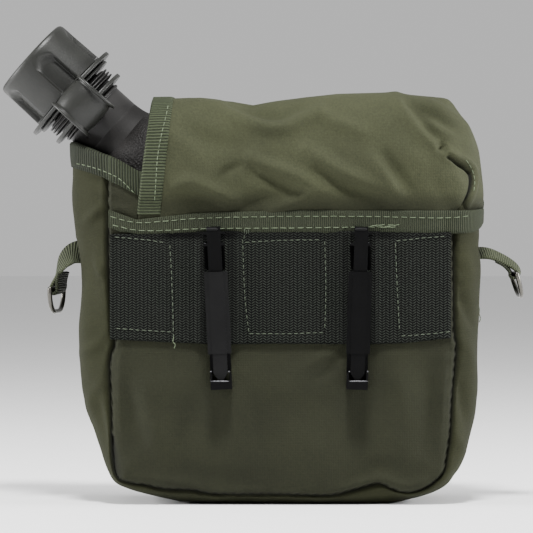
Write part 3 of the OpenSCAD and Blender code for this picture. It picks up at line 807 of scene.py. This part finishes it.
# The ridge sags and crests along its length, and the hood's top follows
top_x, top_z = arr([
    (-75, 212.5), (-64.9, 212.7), (-53.8, 213.1), (-44.5, 212.4), (-29.7, 211.1), (-23, 210), (-17.8, 209.2),
    (-9, 210.8), (11.7, 213.4), (29.2, 215.2), (62.5, 215.9), (70, 214.2), (83, 213.4), (89, 213.8)]).T
level = level + (np.interp(hood_xy[..., 0], top_x, top_z) - ridge_z) * smooth(level, 192, 213)
edge_shift = (level - 127.5) * 13.2 / 110 - 1.7  # the neck-side edge leans
hood_x = hood_xy[..., 0] + edge_shift * np.clip((60 - hood_xy[..., 0]) / 134, 0, 1)
hood_p = np.stack([hood_x, hood_xy[..., 1], level], axis=-1)
hood_n = normals(hood_p, (20, 0, 150))

# Folds of the hood on the belt side, and softer ones elsewhere
hood_folds = [
    ([(-14.4, 181), (-7, 177.4), (5, 173.4), (14, 169.5), (24, 164)], 4.0, 3.4),
    ([(-12, 174), (0, 168), (10, 163)], 4.2, -3.0),
    ([(15, 185), (24, 179), (33, 173.4), (45, 168.6), (56, 164)], 4.6, 3.6),
    ([(22, 174), (36, 166), (52, 160)], 4.2, -3.4),
    ([(-52, 167), (-46, 168.8), (-34, 164.4), (-22, 159)], 3.6, 3.2),
    ([(-50, 162), (-42, 160.4), (-32, 158.4)], 4, -2.4),
    ([(-32, 168.6), (-27, 174), (-20, 177.4)], 2.6, -2.0),
    ([(-41, 211), (-30, 206.7), (-18, 201.2), (-9, 197.9), (-1, 196.7), (5, 197.8), (13, 201.8), (22, 204.6)],
     3.8, 3.4),
    ([(-24, 209), (-8, 205.4), (2, 204.6), (10, 208)], 4.4, -4.2),
    ([(22, 204.4), (32, 199.4), (43, 195.2)], 4, 2.2),
    ([(-62, 196), (-48, 186), (-40, 174)], 6, 1.8), ([(-48, 196), (-34, 190), (-22, 188)], 6, -1.8),
    ([(49, 180), (57, 171), (63, 163.6)], 4.0, 3.0), ([(56, 182), (61, 174), (67, 165.4)], 3.4, -2.6),
    ([(-4, 153.6), (8, 158.6), (18, 163)], 3.2, 2.2), ([(-22, 156), (-10, 160), (-2, 160.6)], 3.4, -2.2),
    ([(61, 215), (63, 210), (71.3, 199.2), (78, 191.3), (84, 186.2), (90, 180.8)], 3.2, 3.4),
    ([(68, 208), (76, 198), (83, 189)], 4.0, -3.4), ([(84.2, 187.2), (85.6, 185.2)], 2.4, -4.0),
    ([(70.8, 213.4), (80.4, 208.8), (88.3, 203.2), (95.6, 197.5), (101.3, 190.7), (104.6, 185)], 3.0, 2.6),
    ([(76, 206.4), (86, 199.8), (96, 192)], 3.4, -2.8),
    ([(82.6, 198.4), (89.4, 194.1), (95.6, 191.3), (100.7, 186.2)], 3, 2.2),
    ([(76, 176), (82, 168), (86, 160)], 5, -1.3), ([(66, 186), (74, 178), (80, 170)], 5, 1.2),
    ([(88, 181.4), (91, 179.8), (94.4, 177.8), (97.6, 175.9), (99.4, 174.2)], 1.1, -4.0),
    ([(93, 172), (95.4, 166), (94, 160)], 3.4, 1.2),
    ([(89, 183.8), (94, 181.6), (99, 179), (102.4, 173.4), (102.4, 166), (100.4, 160), (98.6, 156)],
     1.6, 1.9),
]
xz = hood_p[..., [0, 2]]
facing = smooth(-hood_p[..., 1], -4, 14)
push = np.zeros(hood_p.shape[:2])
for line, w, h in hood_folds:
    push += fold_line(xz, line, w, h, 0.55) * facing
# The pleat's open slit at the right, with painted shade in it, and painted shade along the hood's lowest rows
slit = [(88.6, 181.2), (91, 179.8), (94.4, 177.8), (97.6, 175.9), (99.8, 173), (100.4, 169), (99.8, 165),
        (98.4, 161), (96.8, 157.6), (95.4, 154.4)]
push += fold_line(xz, slit, 0.8, -1.5, 0.9) * facing
hood_painted_shade = np.clip(fold_line(xz, slit, 0.75, 1.5, 0.35) * facing, 0, 0.9)
hood_painted_shade = np.maximum(hood_painted_shade, 0.45 * (1 - smooth(hood_p[..., 2], 154, 166)) * facing)
free = smooth(hood_p[..., 2], 157, 170)
left_calm = smooth(np.minimum(hood_s, hood_s[-1] - hood_s), 4, 22)[:, None]
push = push * (1 - 0.75 * smooth(hood_p[..., 2], 208, 214))
push = push * (1 - 0.8 * smooth(hood_p[..., 0], 97, 103) * smooth(hood_p[..., 2], 176, 184))
lumps = 0.9 * noise(hood_p, 40, 41) + 0.4 * noise(hood_p, 16, 43)
push += free * left_calm * lumps * (1 - 0.6 * smooth(hood_p[..., 2], 205, 213))
push += left_calm * smooth(hood_p[..., 1], 0, 30) * (1 - smooth(hood_p[..., 2], 176, 192)) * -0.5
# on the outer side the folds stay shallow
push = np.where(hood_p[..., 1] > 30, np.clip(push, -1.4, 0.3), push)
push = push * (1 - smooth(np.arange(rows_q), rows_q - 16, rows_q - 2))[None, :]
hood_p = hood_p + hood_n * push[..., None]
hood_n = normals(hood_p, (20, 0, 150))
hood = grid("hood", hood_p, hood_n, [hood_cloth, pile], lattice_uv(hood_s, np.linspace(0, 98, rows_q)),
            thick=2.2, dark=hood_painted_shade)
# Its last rows meet along the top, and sharp edges there keep the shell's rims out of the shading
on_ridge = np.zeros(len(hood.data.vertices), dtype=bool)
on_ridge[rows_q - 1:hood_p.shape[0] * rows_q:rows_q] = True
edge_ends = np.zeros(2 * len(hood.data.edges), dtype=np.int32)
hood.data.edges.foreach_get("vertices", edge_ends)
hood.data.edges.foreach_set("use_edge_sharp", on_ridge[edge_ends.reshape(-1, 2)].all(axis=1))
settle(hood, None, ["flap", "flap_lining"])

# Tape round the neck-side edge of the hood: up the back, over the top and down the front
from_front = hood_s[-1] - hood_s[::-1]
edge_rows = []
EDGE_TAPE_WIDTH, TAPE_LIFT = 11.5, 0.15
for d in [0.01] + list(np.linspace(0.5, EDGE_TAPE_WIDTH, 9)):
    b = rows_at(hood_p, hood_s, d) + rows_at(hood_n, hood_s, d) * TAPE_LIFT
    f = rows_at(hood_p[::-1], from_front, d) + rows_at(hood_n[::-1], from_front, d) * TAPE_LIFT
    edge_rows.append(np.concatenate([b[4:-1], f[::-1]]))
edge_rows = np.stack(edge_rows, axis=1)
edge_n = normals(edge_rows, (-40, 0, 150))
inner_edge = edge_rows - edge_n * 2.75
rim = edge_rows[:, :1] * 0.5 + inner_edge[:, :1] * 0.5 + (edge_rows[:, :1] - edge_rows[:, 2:3]) * 0.5
edge_thick = 0.85 * (1 - 0.7 * (np.linspace(0, 1, edge_rows.shape[1]) ** 14))
outer_band = edge_rows + edge_n * edge_thick[None, :, None]
band = np.concatenate([outer_band[:, ::-1], outer_band[:, :1] + (rim - outer_band[:, :1]) * 0.6, rim,
                       inner_edge[:, :1] + (rim - inner_edge[:, :1]) * 0.6, inner_edge], axis=1)
edge_tape = sweep("hood_edge_tape", band, [binding],
                  lattice_uv(length_along(outer_band[:, 4]), np.arange(band.shape[1]) * 1.2))
settle(edge_tape, None, ["flap_side_binding"])

# Hem tape round the hood's right-hand side and front
FROM_Y, BEFORE_EDGE = -9.0, 11.0
STRIP_LOW, STRIP_WIDTH = 147.7, 11.8
first = int(np.argmax(hood_plan[:, 1] > FROM_Y))
last = int(np.searchsorted(hood_s, hood_s[-1] - BEFORE_EDGE))
strip_rows = []
own_level = np.arange(rows_q)
for k in np.linspace(0, 1, 9):
    line = []
    for i in range(first, last):
        j = np.interp(STRIP_LOW + STRIP_WIDTH * k, hood_p[i, :30, 2], own_level[:30])
        a = int(j)
        line.append(hood_p[i, a] * (1 - (j - a)) + hood_p[i, a + 1] * (j - a))
    strip_rows.append(arr(line))
strip_rows = np.stack(strip_rows, axis=1)
flap_hem = tape("hem_flap", strip_rows, normals(strip_rows, (0, 0, 150)), 0.8, hem_binding)
settle(flap_hem, None, ["flap_hem"])

# ---- Belt webbing ----
clip_x = (-31.5, 42.0)
wx = np.linspace(-87.6, 90.0, 260)
low = np.interp(wx, [-87.6, -56, -31, 0, 42, 66, 90], [86.6, 85.0, 84.0, 84.4, 84.0, 84.6, 87.4])
high = np.interp(wx, [-87.6, -56, -20, 30, 90], [141.5, 142.5, 143, 143, 142.5])
zs = np.concatenate([[0, 0.008, 0.022], np.linspace(0.04, 0.96, 46), [0.978, 0.992, 1]])
web_p = np.zeros((len(wx), len(zs), 3))
web_p[..., 0] = wx[:, None]
web_p[..., 2] = low[:, None] + (high - low)[:, None] * zs
rise = np.zeros_like(wx)
for c in clip_x:  # the webbing stands off in a tunnel over each clip's hidden leg
    rise = rise + 1.75 * smooth(12.5 - np.abs(wx - c), 0, 5)
lift = rise[:, None] * np.ones(len(zs))
lift += 0.35 * smooth(noise(web_p, 30, 51), -0.2, 1) * smooth(rise, 0.2, 1.2)[:, None]
# It is pulled down along the stitches of its three boxes
for e in (-85, -55, -17, 24.5, 62, 91):
    lift -= 0.35 * np.exp(-((wx - e) / 1.4) ** 2)[:, None]
inside = sum(((wx > a) & (wx < b)).astype(float) for a, b in ((-86, -55), (-17, 24.5), (62, 91)))
for row_z in (90.3, 138):
    lift -= 0.3 * np.exp(-((web_p[..., 2] - row_z) / 1.2) ** 2) * inside[:, None]
round_edge = 1.3 * (1 - np.sqrt(1 - (1 - np.clip(np.minimum(zs, 1 - zs) / 0.02, 0, 1)) ** 2))
WEB_Y = -39.75
web_p[..., 1] = WEB_Y - lift + round_edge[None, :] * 0.8
# Painted shade: darker under the hem, most of all where it stands off round the clips, and beside the clips
under_hem = smooth(web_p[..., 2], 138.4, 139.8)
gap = 0.35 + 0.55 * smooth(web_p[..., 0], -64, -56) * (1 - smooth(web_p[..., 0], -24, -18))
gap = gap + 0.4 * smooth(web_p[..., 0], 44, 48) * (1 - smooth(web_p[..., 0], 56, 64))
tunnel = sum(np.exp(-((np.abs(web_p[..., 0] - c) - 7.5) / 2.2) ** 2) for c in clip_x)
web_painted_shade = np.clip(np.maximum(under_hem * gap, 0.45 * tunnel), 0, 0.9)
webbing = grid("webbing", web_p, normals(web_p, (0, 0, 110)), [web], web_p[..., [0, 2]], thick=1.5,
               dark=web_painted_shade)
settle(webbing, "root", ["belt_webbing"])

# ---- Clips: the CAD shapes with worn, rounded edges; the left slide's lighter black is painted light ----
def softened(node, width, mat, name):
    o = bpy.data.objects.new(name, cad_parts[node].data.copy())
    bpy.context.scene.collection.objects.link(o)
    bev = o.modifiers.new("edges", "BEVEL")
    bev.width = width * MM
    bev.segments = 2
    bev.limit_method = "ANGLE"
    bev.angle_limit = math.radians(35)
    bpy.context.view_layer.update()
    done = bpy.data.meshes.new_from_object(o.evaluated_get(bpy.context.evaluated_depsgraph_get()))
    o.modifiers.clear()
    o.data = done
    done.materials.clear()
    done.materials.append(mat)
    return o


# The left slide takes the lighter black, which paints the light falling on it
for side, slide_mat in (("left", lit_black), ("right", black)):
    for node, width, mat, name, body in (("clip_frame_", 0.18, black, "clip_body_", "root"),
                                         ("clip_slide_", 0.16, slide_mat, "clip_sleeve_", "slide_" + side)):
        settle(softened(node + side, width, mat, name + side), body, [node + side])


def drop_clip(x, z):
    """How far out the clips stand at x, z."""
    hits = [drop([n], x, z) for n in ("clip_body_left", "clip_body_right")]
    return min(h[0][1] for h in hits if h is not None)


def rod(ends, r):
    """A short rod with domed ends, as points and faces."""
    a, b = arr(ends)
    t = unit(b - a)
    u = unit(np.cross(t, (0.3, 0.2, 1)))
    w = np.cross(t, u)
    ring = []
    for k, size in ((0, 0.1), (0.05, 0.7), (0.12, 1), (0.88, 1), (0.95, 0.7), (1, 0.1)):
        ring.append([a + (b - a) * k + r * size * (math.cos(q) * u + math.sin(q) * w)
                     for q in np.arange(10) * TAU / 10])
    faces = quads(6, 10, close_v=True).tolist() + [list(range(10))[::-1], list(range(50, 60))]
    return arr(ring).reshape(-1, 3), faces


# ---- Neck, cap and keeper strap ----
# Places here are x, y and s: across, along Y, and out along the neck's axis from its root
tilt = math.radians(48)
root = arr((-82.4, 0, 191.1))
ex, ey, ez = arr([(math.cos(tilt), 0, math.sin(tilt)), (0, 1, 0), (-math.sin(tilt), 0, math.cos(tilt))])


def on_neck(x, y, s):
    return root + np.multiply.outer(x, ex) + np.multiply.outer(y, ey) + np.multiply.outer(s, ez)


def rounded(pts, r, steps=3, closed=True):
    """An outline with each corner cut by a small arc."""
    p = arr(pts)
    out = []
    m = len(p)
    for i in range(m):
        if not closed and i in (0, m - 1):
            out.append(p[i])
            continue
        a, b, c = p[i - 1], p[i], p[(i + 1) % m]
        la, lc = np.linalg.norm(a - b), np.linalg.norm(c - b)
        k = min(r, la * 0.4, lc * 0.4)
        q0, q1 = b + (a - b) / la * k, b + (c - b) / lc * k
        for t in np.linspace(0, 1, steps + 1):
            out.append((1 - t) ** 2 * q0 + 2 * t * (1 - t) * b + t * t * q1)
    return arr(out)


def lathe(name, profile, mat, closed=True, angles=None, change=None, r=0.3):
    prof = rounded(profile, r, closed=closed)
    th = np.linspace(0, TAU, 144, endpoint=False) if angles is None else angles
    rr = np.repeat(prof[None, :, 0], len(th), axis=0)
    ss = np.repeat(prof[None, :, 1], len(th), axis=0)
    if change is not None:
        rr, ss = change(th[:, None], rr, ss)
    p = on_neck(rr * np.cos(th)[:, None], rr * np.sin(th)[:, None], ss)
    f = quads(len(th), len(prof), close_u=True, close_v=closed)
    o = make(name, p.reshape(-1, 3), f, [mat])
    fix_normals(o)
    return o


def between(a, b, n):
    """The points that cut a line into n."""
    return [tuple(arr(a) + (arr(b) - arr(a)) * k / n) for k in range(1, n)]


# Profiles on the neck's axis are (radius, distance from its root)
fins = []
for s in (27, 27 + 1.8, 27 + 2 * 1.8):
    fins += [(20, s), (22, s + 0.3), (22, s + 0.9), (20, s + 1.2)]
neck_profile = ([(18.3, -3), (18.3, 20.4), (19.5, 21), (19.5, 22), (18.3, 22.6), (18.3, 27)] + fins
                + [(20, 32.4), (16.8, 33), (16.2, 33.6), (16.2, 61), (14.2, 61), (14.2, 10)])
neck = lathe("neck", neck_profile, neck_mat, closed=False, r=0.35)
shoulder = lathe("neck_shoulder", [(32, -26), (29.4, -18), (26.2, -11.5), (23.2, -6.8), (20.9, -3.4),
                                   (19.6, -0.6), (18.9, 2.2), (18.5, 5.2), (18.32, 8), (17, 8.2), (17, -26)],
                 shoulder_mat, r=1.4)
th = np.arange(0, 2.6 * TAU, TAU / 60)
ridge = rounded([(-0.3, -0.95), (1.3, -0.45), (1.3, 0.45), (-0.3, 0.95)], 0.25, 2)
fade = smooth(th, 0, 0.5) * (1 - smooth(th, th[-1] - 0.5, th[-1]))
rr = 16.2 + ridge[None, :, 0] * fade[:, None]
thread_ridge = sweep("spout_thread", on_neck(rr * np.cos(th)[:, None], rr * np.sin(th)[:, None],
                                            42 + 5 * th[:, None] / TAU + ridge[None, :, 1]), [neck_mat])
for o in (neck, shoulder, thread_ridge):
    settle(o, "root", [])


def bladder_points():
    """Rounded sections of the bladder from the bottom up, closed at the top."""
    rows = []
    left = curve([(-84, 24), (-92, 50), (-97.5, 76), (-99, 110), (-100.2, 140), (-100.4, 165), (-99.6, 171),
                  (-96, 176), (-72, 202.6), (-69.5, 204), (-66, 204.6)], 10)
    right = curve([(84, 24), (96, 50), (100, 76), (101, 120), (100.6, 162), (97.8, 178), (92, 190), (84, 200),
                   (76, 204.6)], 10)
    for z in np.concatenate([np.linspace(24, 160, 40), np.linspace(162, 204.4, 44)]):
        xl, xr = (np.interp(z, line[:, 1], line[:, 0]) for line in (left, right))
        yb = -33.6 + 20 - math.sqrt(max(400 - max(z - 184.6, 0) ** 2, 0))
        yf = 33.4 - front_lean(z) - 33 + math.sqrt(max(33 ** 2 - max(z - 171.6, 0) ** 2, 0))
        cy, b, cx, a = (yb + yf) / 2, (yf - yb) / 2, (xl + xr) / 2, (xr - xl) / 2
        t = np.linspace(0, TAU, 240, endpoint=False)
        power = 2 / 5.0
        c, s = np.cos(t), np.sin(t)
        b = b - 5 * (1 - smooth(z, 20, 70))
        rows.append(np.stack([cx + a * np.sign(c) * np.abs(c) ** power, cy + b * np.sign(s) * np.abs(s) ** power,
                              np.full_like(t, z)], axis=1))
    top = rows[-1].copy()
    for k in (0.6, 0.2, 0.0):
        q = top.copy()
        q[:, 1] = top[:, 1].mean() + (top[:, 1] - top[:, 1].mean()) * k
        q[:, 2] += 0.15 * (1 - k)
        rows.append(q)
    return np.stack(rows)


bp = bladder_points()
bn = normals(bp, (0, 0, 100), close_v=True)
bp = bp + bn * (-0.5 + 0.5 * noise(bp, 30, 61))[..., None]
bladder = grid("bladder", bp, normals(bp, (0, 0, 100), close_v=True), [bladder_mat], close_v=True)
settle(bladder, "root", ["canteen_body"])

neck_ring = lathe("neck_ring", [(18.6, 23.4), (24.4, 23.4), (24.4, 25.4), (18.6, 25.4)], cap_mat, r=0.45)
settle(neck_ring, "root", ["strap_neck_ring"])
cap_ring = lathe("cap_ring", [(22.8, 35.5), (29, 35.5), (29, 37.5), (22.8, 37.5)], cap_mat, r=0.5)
settle(cap_ring, "cap_ring", ["strap_cap_ring"])

# The cap has extra columns at the walls of its five recesses, the first of which is at FIRST_PAD degrees
FIRST_PAD, PADS = -82, 5
SPACING = 360 // PADS
wall = np.radians([-17, -16.2, -15.4, -14.6, -13.8, 13.8, 14.6, 15.4, 16.2, 17])
cap_th = [np.linspace(0, TAU, 180, endpoint=False)]
for i in range(PADS):
    cap_th.append((np.radians(FIRST_PAD + SPACING * i) + wall) % TAU)
cap_th = np.unique(np.round(np.concatenate(cap_th), 5))


def pads(theta, r, s):
    """Sinks the five recesses between the gripping pads."""
    off = np.radians((np.degrees(theta) - FIRST_PAD + SPACING / 2) % SPACING - SPACING / 2)
    x = 22.5 * off
    end = 61.5 - 0.1 * x * x
    depth = 3.1 * smooth(6.2 - np.abs(x), 0, 0.8) * smooth(s, 38.3, 39.4) * smooth(end - s, -0.5, 7)
    outside = r > 20.6
    return np.where(outside, np.maximum(r - depth * outside, 19), r), s


cap_profile = ([(18.3, 34), (25, 33.5), (25, 34.8), (22.4, 35.2), (22.4, 37.6), (23.8, 38)]
               + between((23.8, 38), (23.3, 61), 28)
               + [(23.3, 61), (23.25, 63), (22.8, 64.5), (21.8, 65.3), (20.2, 65.5), (12, 65.3), (0.05, 65.2),
                  (0.05, 62.9), (18.3, 62.9)])
cap = lathe("cap_shell", cap_profile, cap_mat, angles=cap_th, change=pads)
settle(cap, "cap", ["cap"])

# Keeper strap: out from the cap ring, down beside the neck and back to the neck ring
strap_line = even(curve([(25.6, 36.7), (29.5, 37), (33.4, 35.6), (36.2, 32.4), (37.2, 28), (36.2, 22.8),
                         (33.6, 18), (30, 15.6), (26.8, 17.2), (24.2, 21.2), (22.8, 24.3)], 8), 70)
strap_way = unit(np.gradient(strap_line, axis=0))
strap_n = np.stack([-strap_way[:, 1], strap_way[:, 0]], axis=1)
section = [(-10.6, 0.4), (-10.5, 1.9), (-10.1, 2.3), (-9.4, 2.3), (-9.0, 1.9), (-8.8, 0.5)]
section += [(x, 0.3 + 0.9 * (1 - (x / 8.4) ** 2)) for x in np.linspace(-8.4, 8.4, 15)]
section += [(-x, h) for x, h in section[5::-1]]
section += [(x, -0.75) for x in np.linspace(10.5, -10.5, 15)]
section = arr(section)
rings = np.zeros((len(strap_line), len(section), 3))
for i in range(len(strap_line)):
    lift = strap_line[i] + strap_n[i] * section[:, 1:]
    rings[i] = on_neck(section[:, 0], -lift[:, 0], lift[:, 1])
strap = sweep("keeper_strap", rings, [cap_mat])
settle(strap, None, ["strap_band"])

# ---- D-ring tapes ----
RING_TAPE_WIDTH = 25


def ring_tape(name, node, line, turn, pivot_x, rolls):
    """A tape folded round a ring: its line is in the XZ plane, and the fold starts after its seventh point. It
    turns a little about the ring on the way out, and rolls are its tilts at the cover, at the ring and at its
    loose end."""
    path = even(curve(line, 10), 60)
    t = unit(np.gradient(path, axis=0))
    side_n = np.stack([-t[:, 1], t[:, 0]], axis=1)
    last = int(np.linalg.norm(path - arr(line[6]), axis=1).argmin())
    tip = np.where(np.arange(len(path))[:, None] > last, side_n[last], side_n)
    half = RING_TAPE_WIDTH / 2
    across = np.linspace(-half + 0.8, half - 0.8, 12)
    section = np.concatenate([[(x, -0.85) for x in across], [(half, -0.45), (half, 0.45)],
                              [(x, 0.85) for x in across[::-1]], [(-half, 0.45), (-half, -0.45)]])
    out = np.zeros((len(path), len(section), 3))
    for i in range(len(path)):
        a = math.radians(rolls[0] + (rolls[1] - rolls[0]) * smooth(i / last, 0.35, 0.95)
                         + (rolls[2] - rolls[1]) * smooth(i, last, last + 12))
        w, h = section[:, 0], section[:, 1]
        out[i][:, [0, 2]] = path[i] + tip[i] * (w * math.sin(a))[:, None] + side_n[i] * h[:, None]
        out[i, :, 1] = w * math.cos(a)
    ang = math.radians(turn) * smooth(np.abs(out[..., 0] - line[0][0]), 0, 12)
    rel = out[..., 0] - pivot_x
    x = pivot_x + rel * np.cos(ang) - out[..., 1] * np.sin(ang)
    y = rel * np.sin(ang) + out[..., 1] * np.cos(ang)
    out[..., 0], out[..., 1] = x, y
    there = np.linspace(0, RING_TAPE_WIDTH, 14)
    o = sweep(name, out, [ring_tape_mat], lattice_uv(length_along(path), np.concatenate([there, there[::-1]])))
    # Painted shade on the fold's return ply, which lies in the body's shadow
    inside = 0.5 * np.array([smooth(i, last + 2, last + 8) for i in range(len(path))])
    set_painted_shade(o, np.repeat(inside, len(section)))
    settle(o, "root", [node])


ring_tape("ring_tape_l", "ring_tape_left",
          [(-99, 131), (-104.5, 131.8), (-109, 131), (-113, 127.6), (-115.9, 122.4), (-118.5, 116),
           (-119.8, 112.9), (-119.2, 110.7), (-117.4, 109.8), (-115.6, 110.7), (-115, 112.8), (-115, 115.2),
           (-114.4, 118.4), (-113.6, 121)], -8, -117.3, (-26, -7, 1))
ring_tape("ring_tape_r", "ring_tape_right",
          [(101, 130.6), (107, 131.1), (112, 130.7), (117.5, 128.6), (122.5, 126), (126, 123.4), (127.4, 121),
           (126.8, 118.8), (124.9, 118), (123.2, 119.2), (122.8, 121.4), (119.8, 124.6), (115.4, 127)],
          3, 125, (11, 9, 7))


# ---- Stitching ----
def stitches(name, rows, surfaces, body, pitch=3.3, length=2.5, r=0.3, way=1.0, steep=2.2, mat=thread):
    """Rows of thread, each a line of (x, z) points laid on the named pieces. A stitch that would climb more
    than steep is left out."""
    parts = []
    rng = np.random.default_rng(7)
    for row in rows:
        line = curve(row, 12) if len(row) > 2 else arr(row)
        total = length_along(line)[-1]
        s = 0.6
        while s + length < total:
            jitter = rng.uniform(-0.18, 0.18, 3)
            ends = at_length(line, arr([s, s + length * (1 + jitter[0] * 0.4)]))
            ends[:, 1] += jitter[1:] * 0.5
            places = (0, 0.25, 0.5, 0.75, 1.0)
            hits = [drop(surfaces, *(ends[0] * (1 - k) + ends[1] * k), way) for k in places]
            mid = arr([hit[0] + hit[1] * (-0.25 + 0.5 * math.sin(math.pi * k))
                       for hit, k in zip(hits, places) if hit is not None])
            if len(mid) == len(places) and np.ptp(mid[:, 1]) < steep:
                t = unit(mid[-1] - mid[0])
                up = arr((0, -way, 0))
                b = unit(np.cross(t, up))
                ring = []
                for k, m in enumerate(mid):
                    rad = r * (0.6 if k in (0, 4) else 1.0)
                    ring.append([m + rad * (math.cos(a) * up + math.sin(a) * b) for a in np.arange(6) * TAU / 6])
                v = arr(ring).reshape(-1, 3)
                f = quads(5, 6, close_v=True).tolist() + [[5, 4, 3, 2, 1, 0], [24, 25, 26, 27, 28, 29]]
                parts.append((v, f))
            s += pitch
    o = join_meshes(name, parts, [mat])
    fix_normals(o)
    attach(o, body)


stitches("stitches_hem", [
    [(-88.2, 150.8), (-72, 147.4), (-42, 149.6), (0, 150.6), (49, 150.6), (77, 149.9), (91, 150), (100, 151),
     (105, 151.8)],
    [(-87, 146.4), (-70.5, 143.2), (-40, 144.2), (0, 144.6), (35, 145), (63, 145.2)],
    # a clump of thread where the row was sewn over
    [(47, 145.4), (54, 146.3), (62, 146)], [(50, 146.4), (56, 145.4), (63.5, 146.5)],
    [(48, 146.2), (55, 145), (62.6, 145.2)],
], ["hem_back"], "root", pitch=4.6, length=3.8, r=0.25)
stitches("stitches_mouth", [
    [(-109.4, 179), (-103, 177.7), (-97, 176.3), (-87, 172.6), (-81.5, 169.4), (-77.7, 165.6), (-74.1, 162)],
], ["mouth_binding_tape"], "root", pitch=3.0, length=2.3, r=0.27, steep=6)
stitches("stitches_webbing", [
    [(-85.6, 139.9), (-70, 138.6), (-56.6, 136.6)], [(-56.4, 136.4), (-55.2, 112), (-54.4, 86.4)],
    [(-85, 92.4), (-70, 91.4), (-54.6, 90.4)],
    [(-17.9, 137.1), (3, 138.2), (24.2, 138.5)], [(24.2, 138.4), (24.8, 114), (24.2, 90.4)],
    [(24.2, 90.2), (4, 89.6), (-17.9, 89.6)], [(-15.3, 89.8), (-17.6, 112), (-18.6, 141)],
    [(60.7, 137.8), (75, 139.4), (89.3, 140.4)], [(60.9, 137.6), (62, 112), (63.3, 88.4)],
    [(63.4, 88.3), (78, 89.4), (90, 90.8)],
], ["webbing"], "root", r=0.27, mat=dull_thread)
stitches("stitches_tack", [[(-17.4, 145), (-17.9, 138)], [(-16.4, 144.4), (-16.6, 138.6)],
                           [(-15.4, 145), (-15.6, 139)]],
         ["hem_back", "webbing"], "root", pitch=3.1, length=2.8, r=0.25, steep=4, mat=dull_thread)
stitches("stitches_hood", [
    [(-57.2, 212.4), (-57.7, 207), (-58.7, 201.8), (-62.3, 184.3), (-63.6, 168), (-64.4, 157)],
    [(97.6, 180.6), (101.2, 175), (102.6, 169.3), (102, 163.6)],
], ["hood", "hood_edge_tape"], "flap", pitch=3.0, length=2.6, r=0.25, steep=4)
on_web = [(x, -41.4, z) for x, z in curve([(-54.3, 88), (-54.8, 85.6), (-53.6, 84), (-54.2, 82)], 6)]
on_gusset = [(105.4, -9, 104.5), (106.4, -8, 102), (106.2, -9.4, 99), (107, -8.4, 96.6), (106.2, -10.2, 94.6)]
o = join_meshes("thread_ends", [rod(ends, r) for line, r in ((on_web, 0.22), (on_gusset, 0.26))
                                for ends in zip(line[:-1], line[1:])], [thread])
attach(o, "root")
stitches("stitches_front", [[(-58, 157.6), (20, 157.6), (96, 157.6)], [(-58, 149.6), (20, 149.6), (96, 149.6)]],
         ["hem_flap"], "flap", way=-1.0)

# ---- The flap's pieces and the strap: their transforms baked, and the flap's hem tape put on the flap ----
for o in (hood, edge_tape):
    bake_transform(o)
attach(flap_hem, "flap")
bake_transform(strap)

# Pressed ears beside the clips' bars, in a black that paints their shadow; bright steel rods on their edges,
# whose colour paints glints; and the bars' turned tips, in a lighter black that paints the light they catch
def press(part, k):
    """A rod flattened along Y."""
    v, faces = part
    v[:, 1] = v[:, 1].mean() + (v[:, 1] - v[:, 1].mean()) * k
    return v, faces


def bar(x, y, z, half, r):
    """A rod along X."""
    return rod([(x - half, y, z), (x + half, y, z)], r)


EAR_Y = -41.9
glints, ears = [], []
for low_x, ear_x in ((-30.2, -33.6), (41.5, 42.3)):
    y = drop_clip(low_x + 3.4, 63.6)
    glints.append(bar(low_x, y, 65.4, 4.9, 0.34))
    glints += [bar(low_x + k, y + 0.3, 70.4, 0.5, 0.4) for k in (-4.7, 4.7)]
    ears += [press(rod([(ear_x + k + 0.9, EAR_Y, 122.6), (ear_x + k, EAR_Y, 137.2)], 1.5), 0.4)
             for k in (-3.8, 3.8)]
    glints += [bar(ear_x + k, EAR_Y - 0.6, 136.7, 0.5, 0.42) for k in (-4.4, 4.4)]
tips = [press(bar(x, drop_clip(x, 143.4), 144.1, 3.1, 0.8), 0.6) for x in (-34.4, 42.8)]
for name, parts, mat in (("clip_wear", glints, glint_steel), ("clip_ears", ears, painted_shadow_black),
                         ("clip_tips", tips, lit_black)):
    o = join_meshes(name, parts, [mat])
    fix_normals(o)
    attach(o, "root")

# ---- Small CAD parts that stay as they are ----
for node, mat in (("cap_gasket", rubber), ("snap_caps", black), ("snap_sockets", nickel), ("snap_studs", nickel),
                  ("snap_backs", nickel), ("d_ring_left", nickel), ("d_ring_right", nickel)):
    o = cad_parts[node]
    o.data.materials.clear()
    o.data.materials.append(mat)
for node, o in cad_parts.items():
    if not o.data.materials:
        o.data.materials.append(cap_mat)

# ---- Floor and light ----
floor_mesh = bpy.data.meshes.new("floor")
floor_mesh.from_pydata([(-4, -3, 0), (4, -3, 0), (4, 6, 0), (-4, 6, 0)], [], [(0, 1, 2, 3)])
floor = bpy.data.objects.new("floor", floor_mesh)
floor_mesh.materials.append(plain_material("floor", (0.86, 0.86, 0.86), 0.9, size=60, depth=0.01, spread=0.01))
bpy.context.scene.collection.objects.link(floor)

world = bpy.data.worlds.new("world")
bpy.context.scene.world = world
world.use_nodes = True
background = world.node_tree.nodes["Background"]
background.inputs["Color"].default_value = (1, 1, 1, 1)
background.inputs["Strength"].default_value = 0.6


def area_light(name, place, size, power):
    data = bpy.data.lights.new(name, "AREA")
    data.size = size
    data.energy = power
    o = bpy.data.objects.new(name, data)
    o.location = place
    o.rotation_euler = (aim - Vector(place)).to_track_quat("-Z", "Y").to_euler()
    bpy.context.scene.collection.objects.link(o)


# The key light stands high in front, and the two others open up the sides
area_light("key", (0.02, -0.62, 1.5), 0.28, 50)
area_light("left", (-1.2, -0.1, 0.4), 0.4, 26)
area_light("right", (1.2, -0.1, 0.4), 0.4, 26)
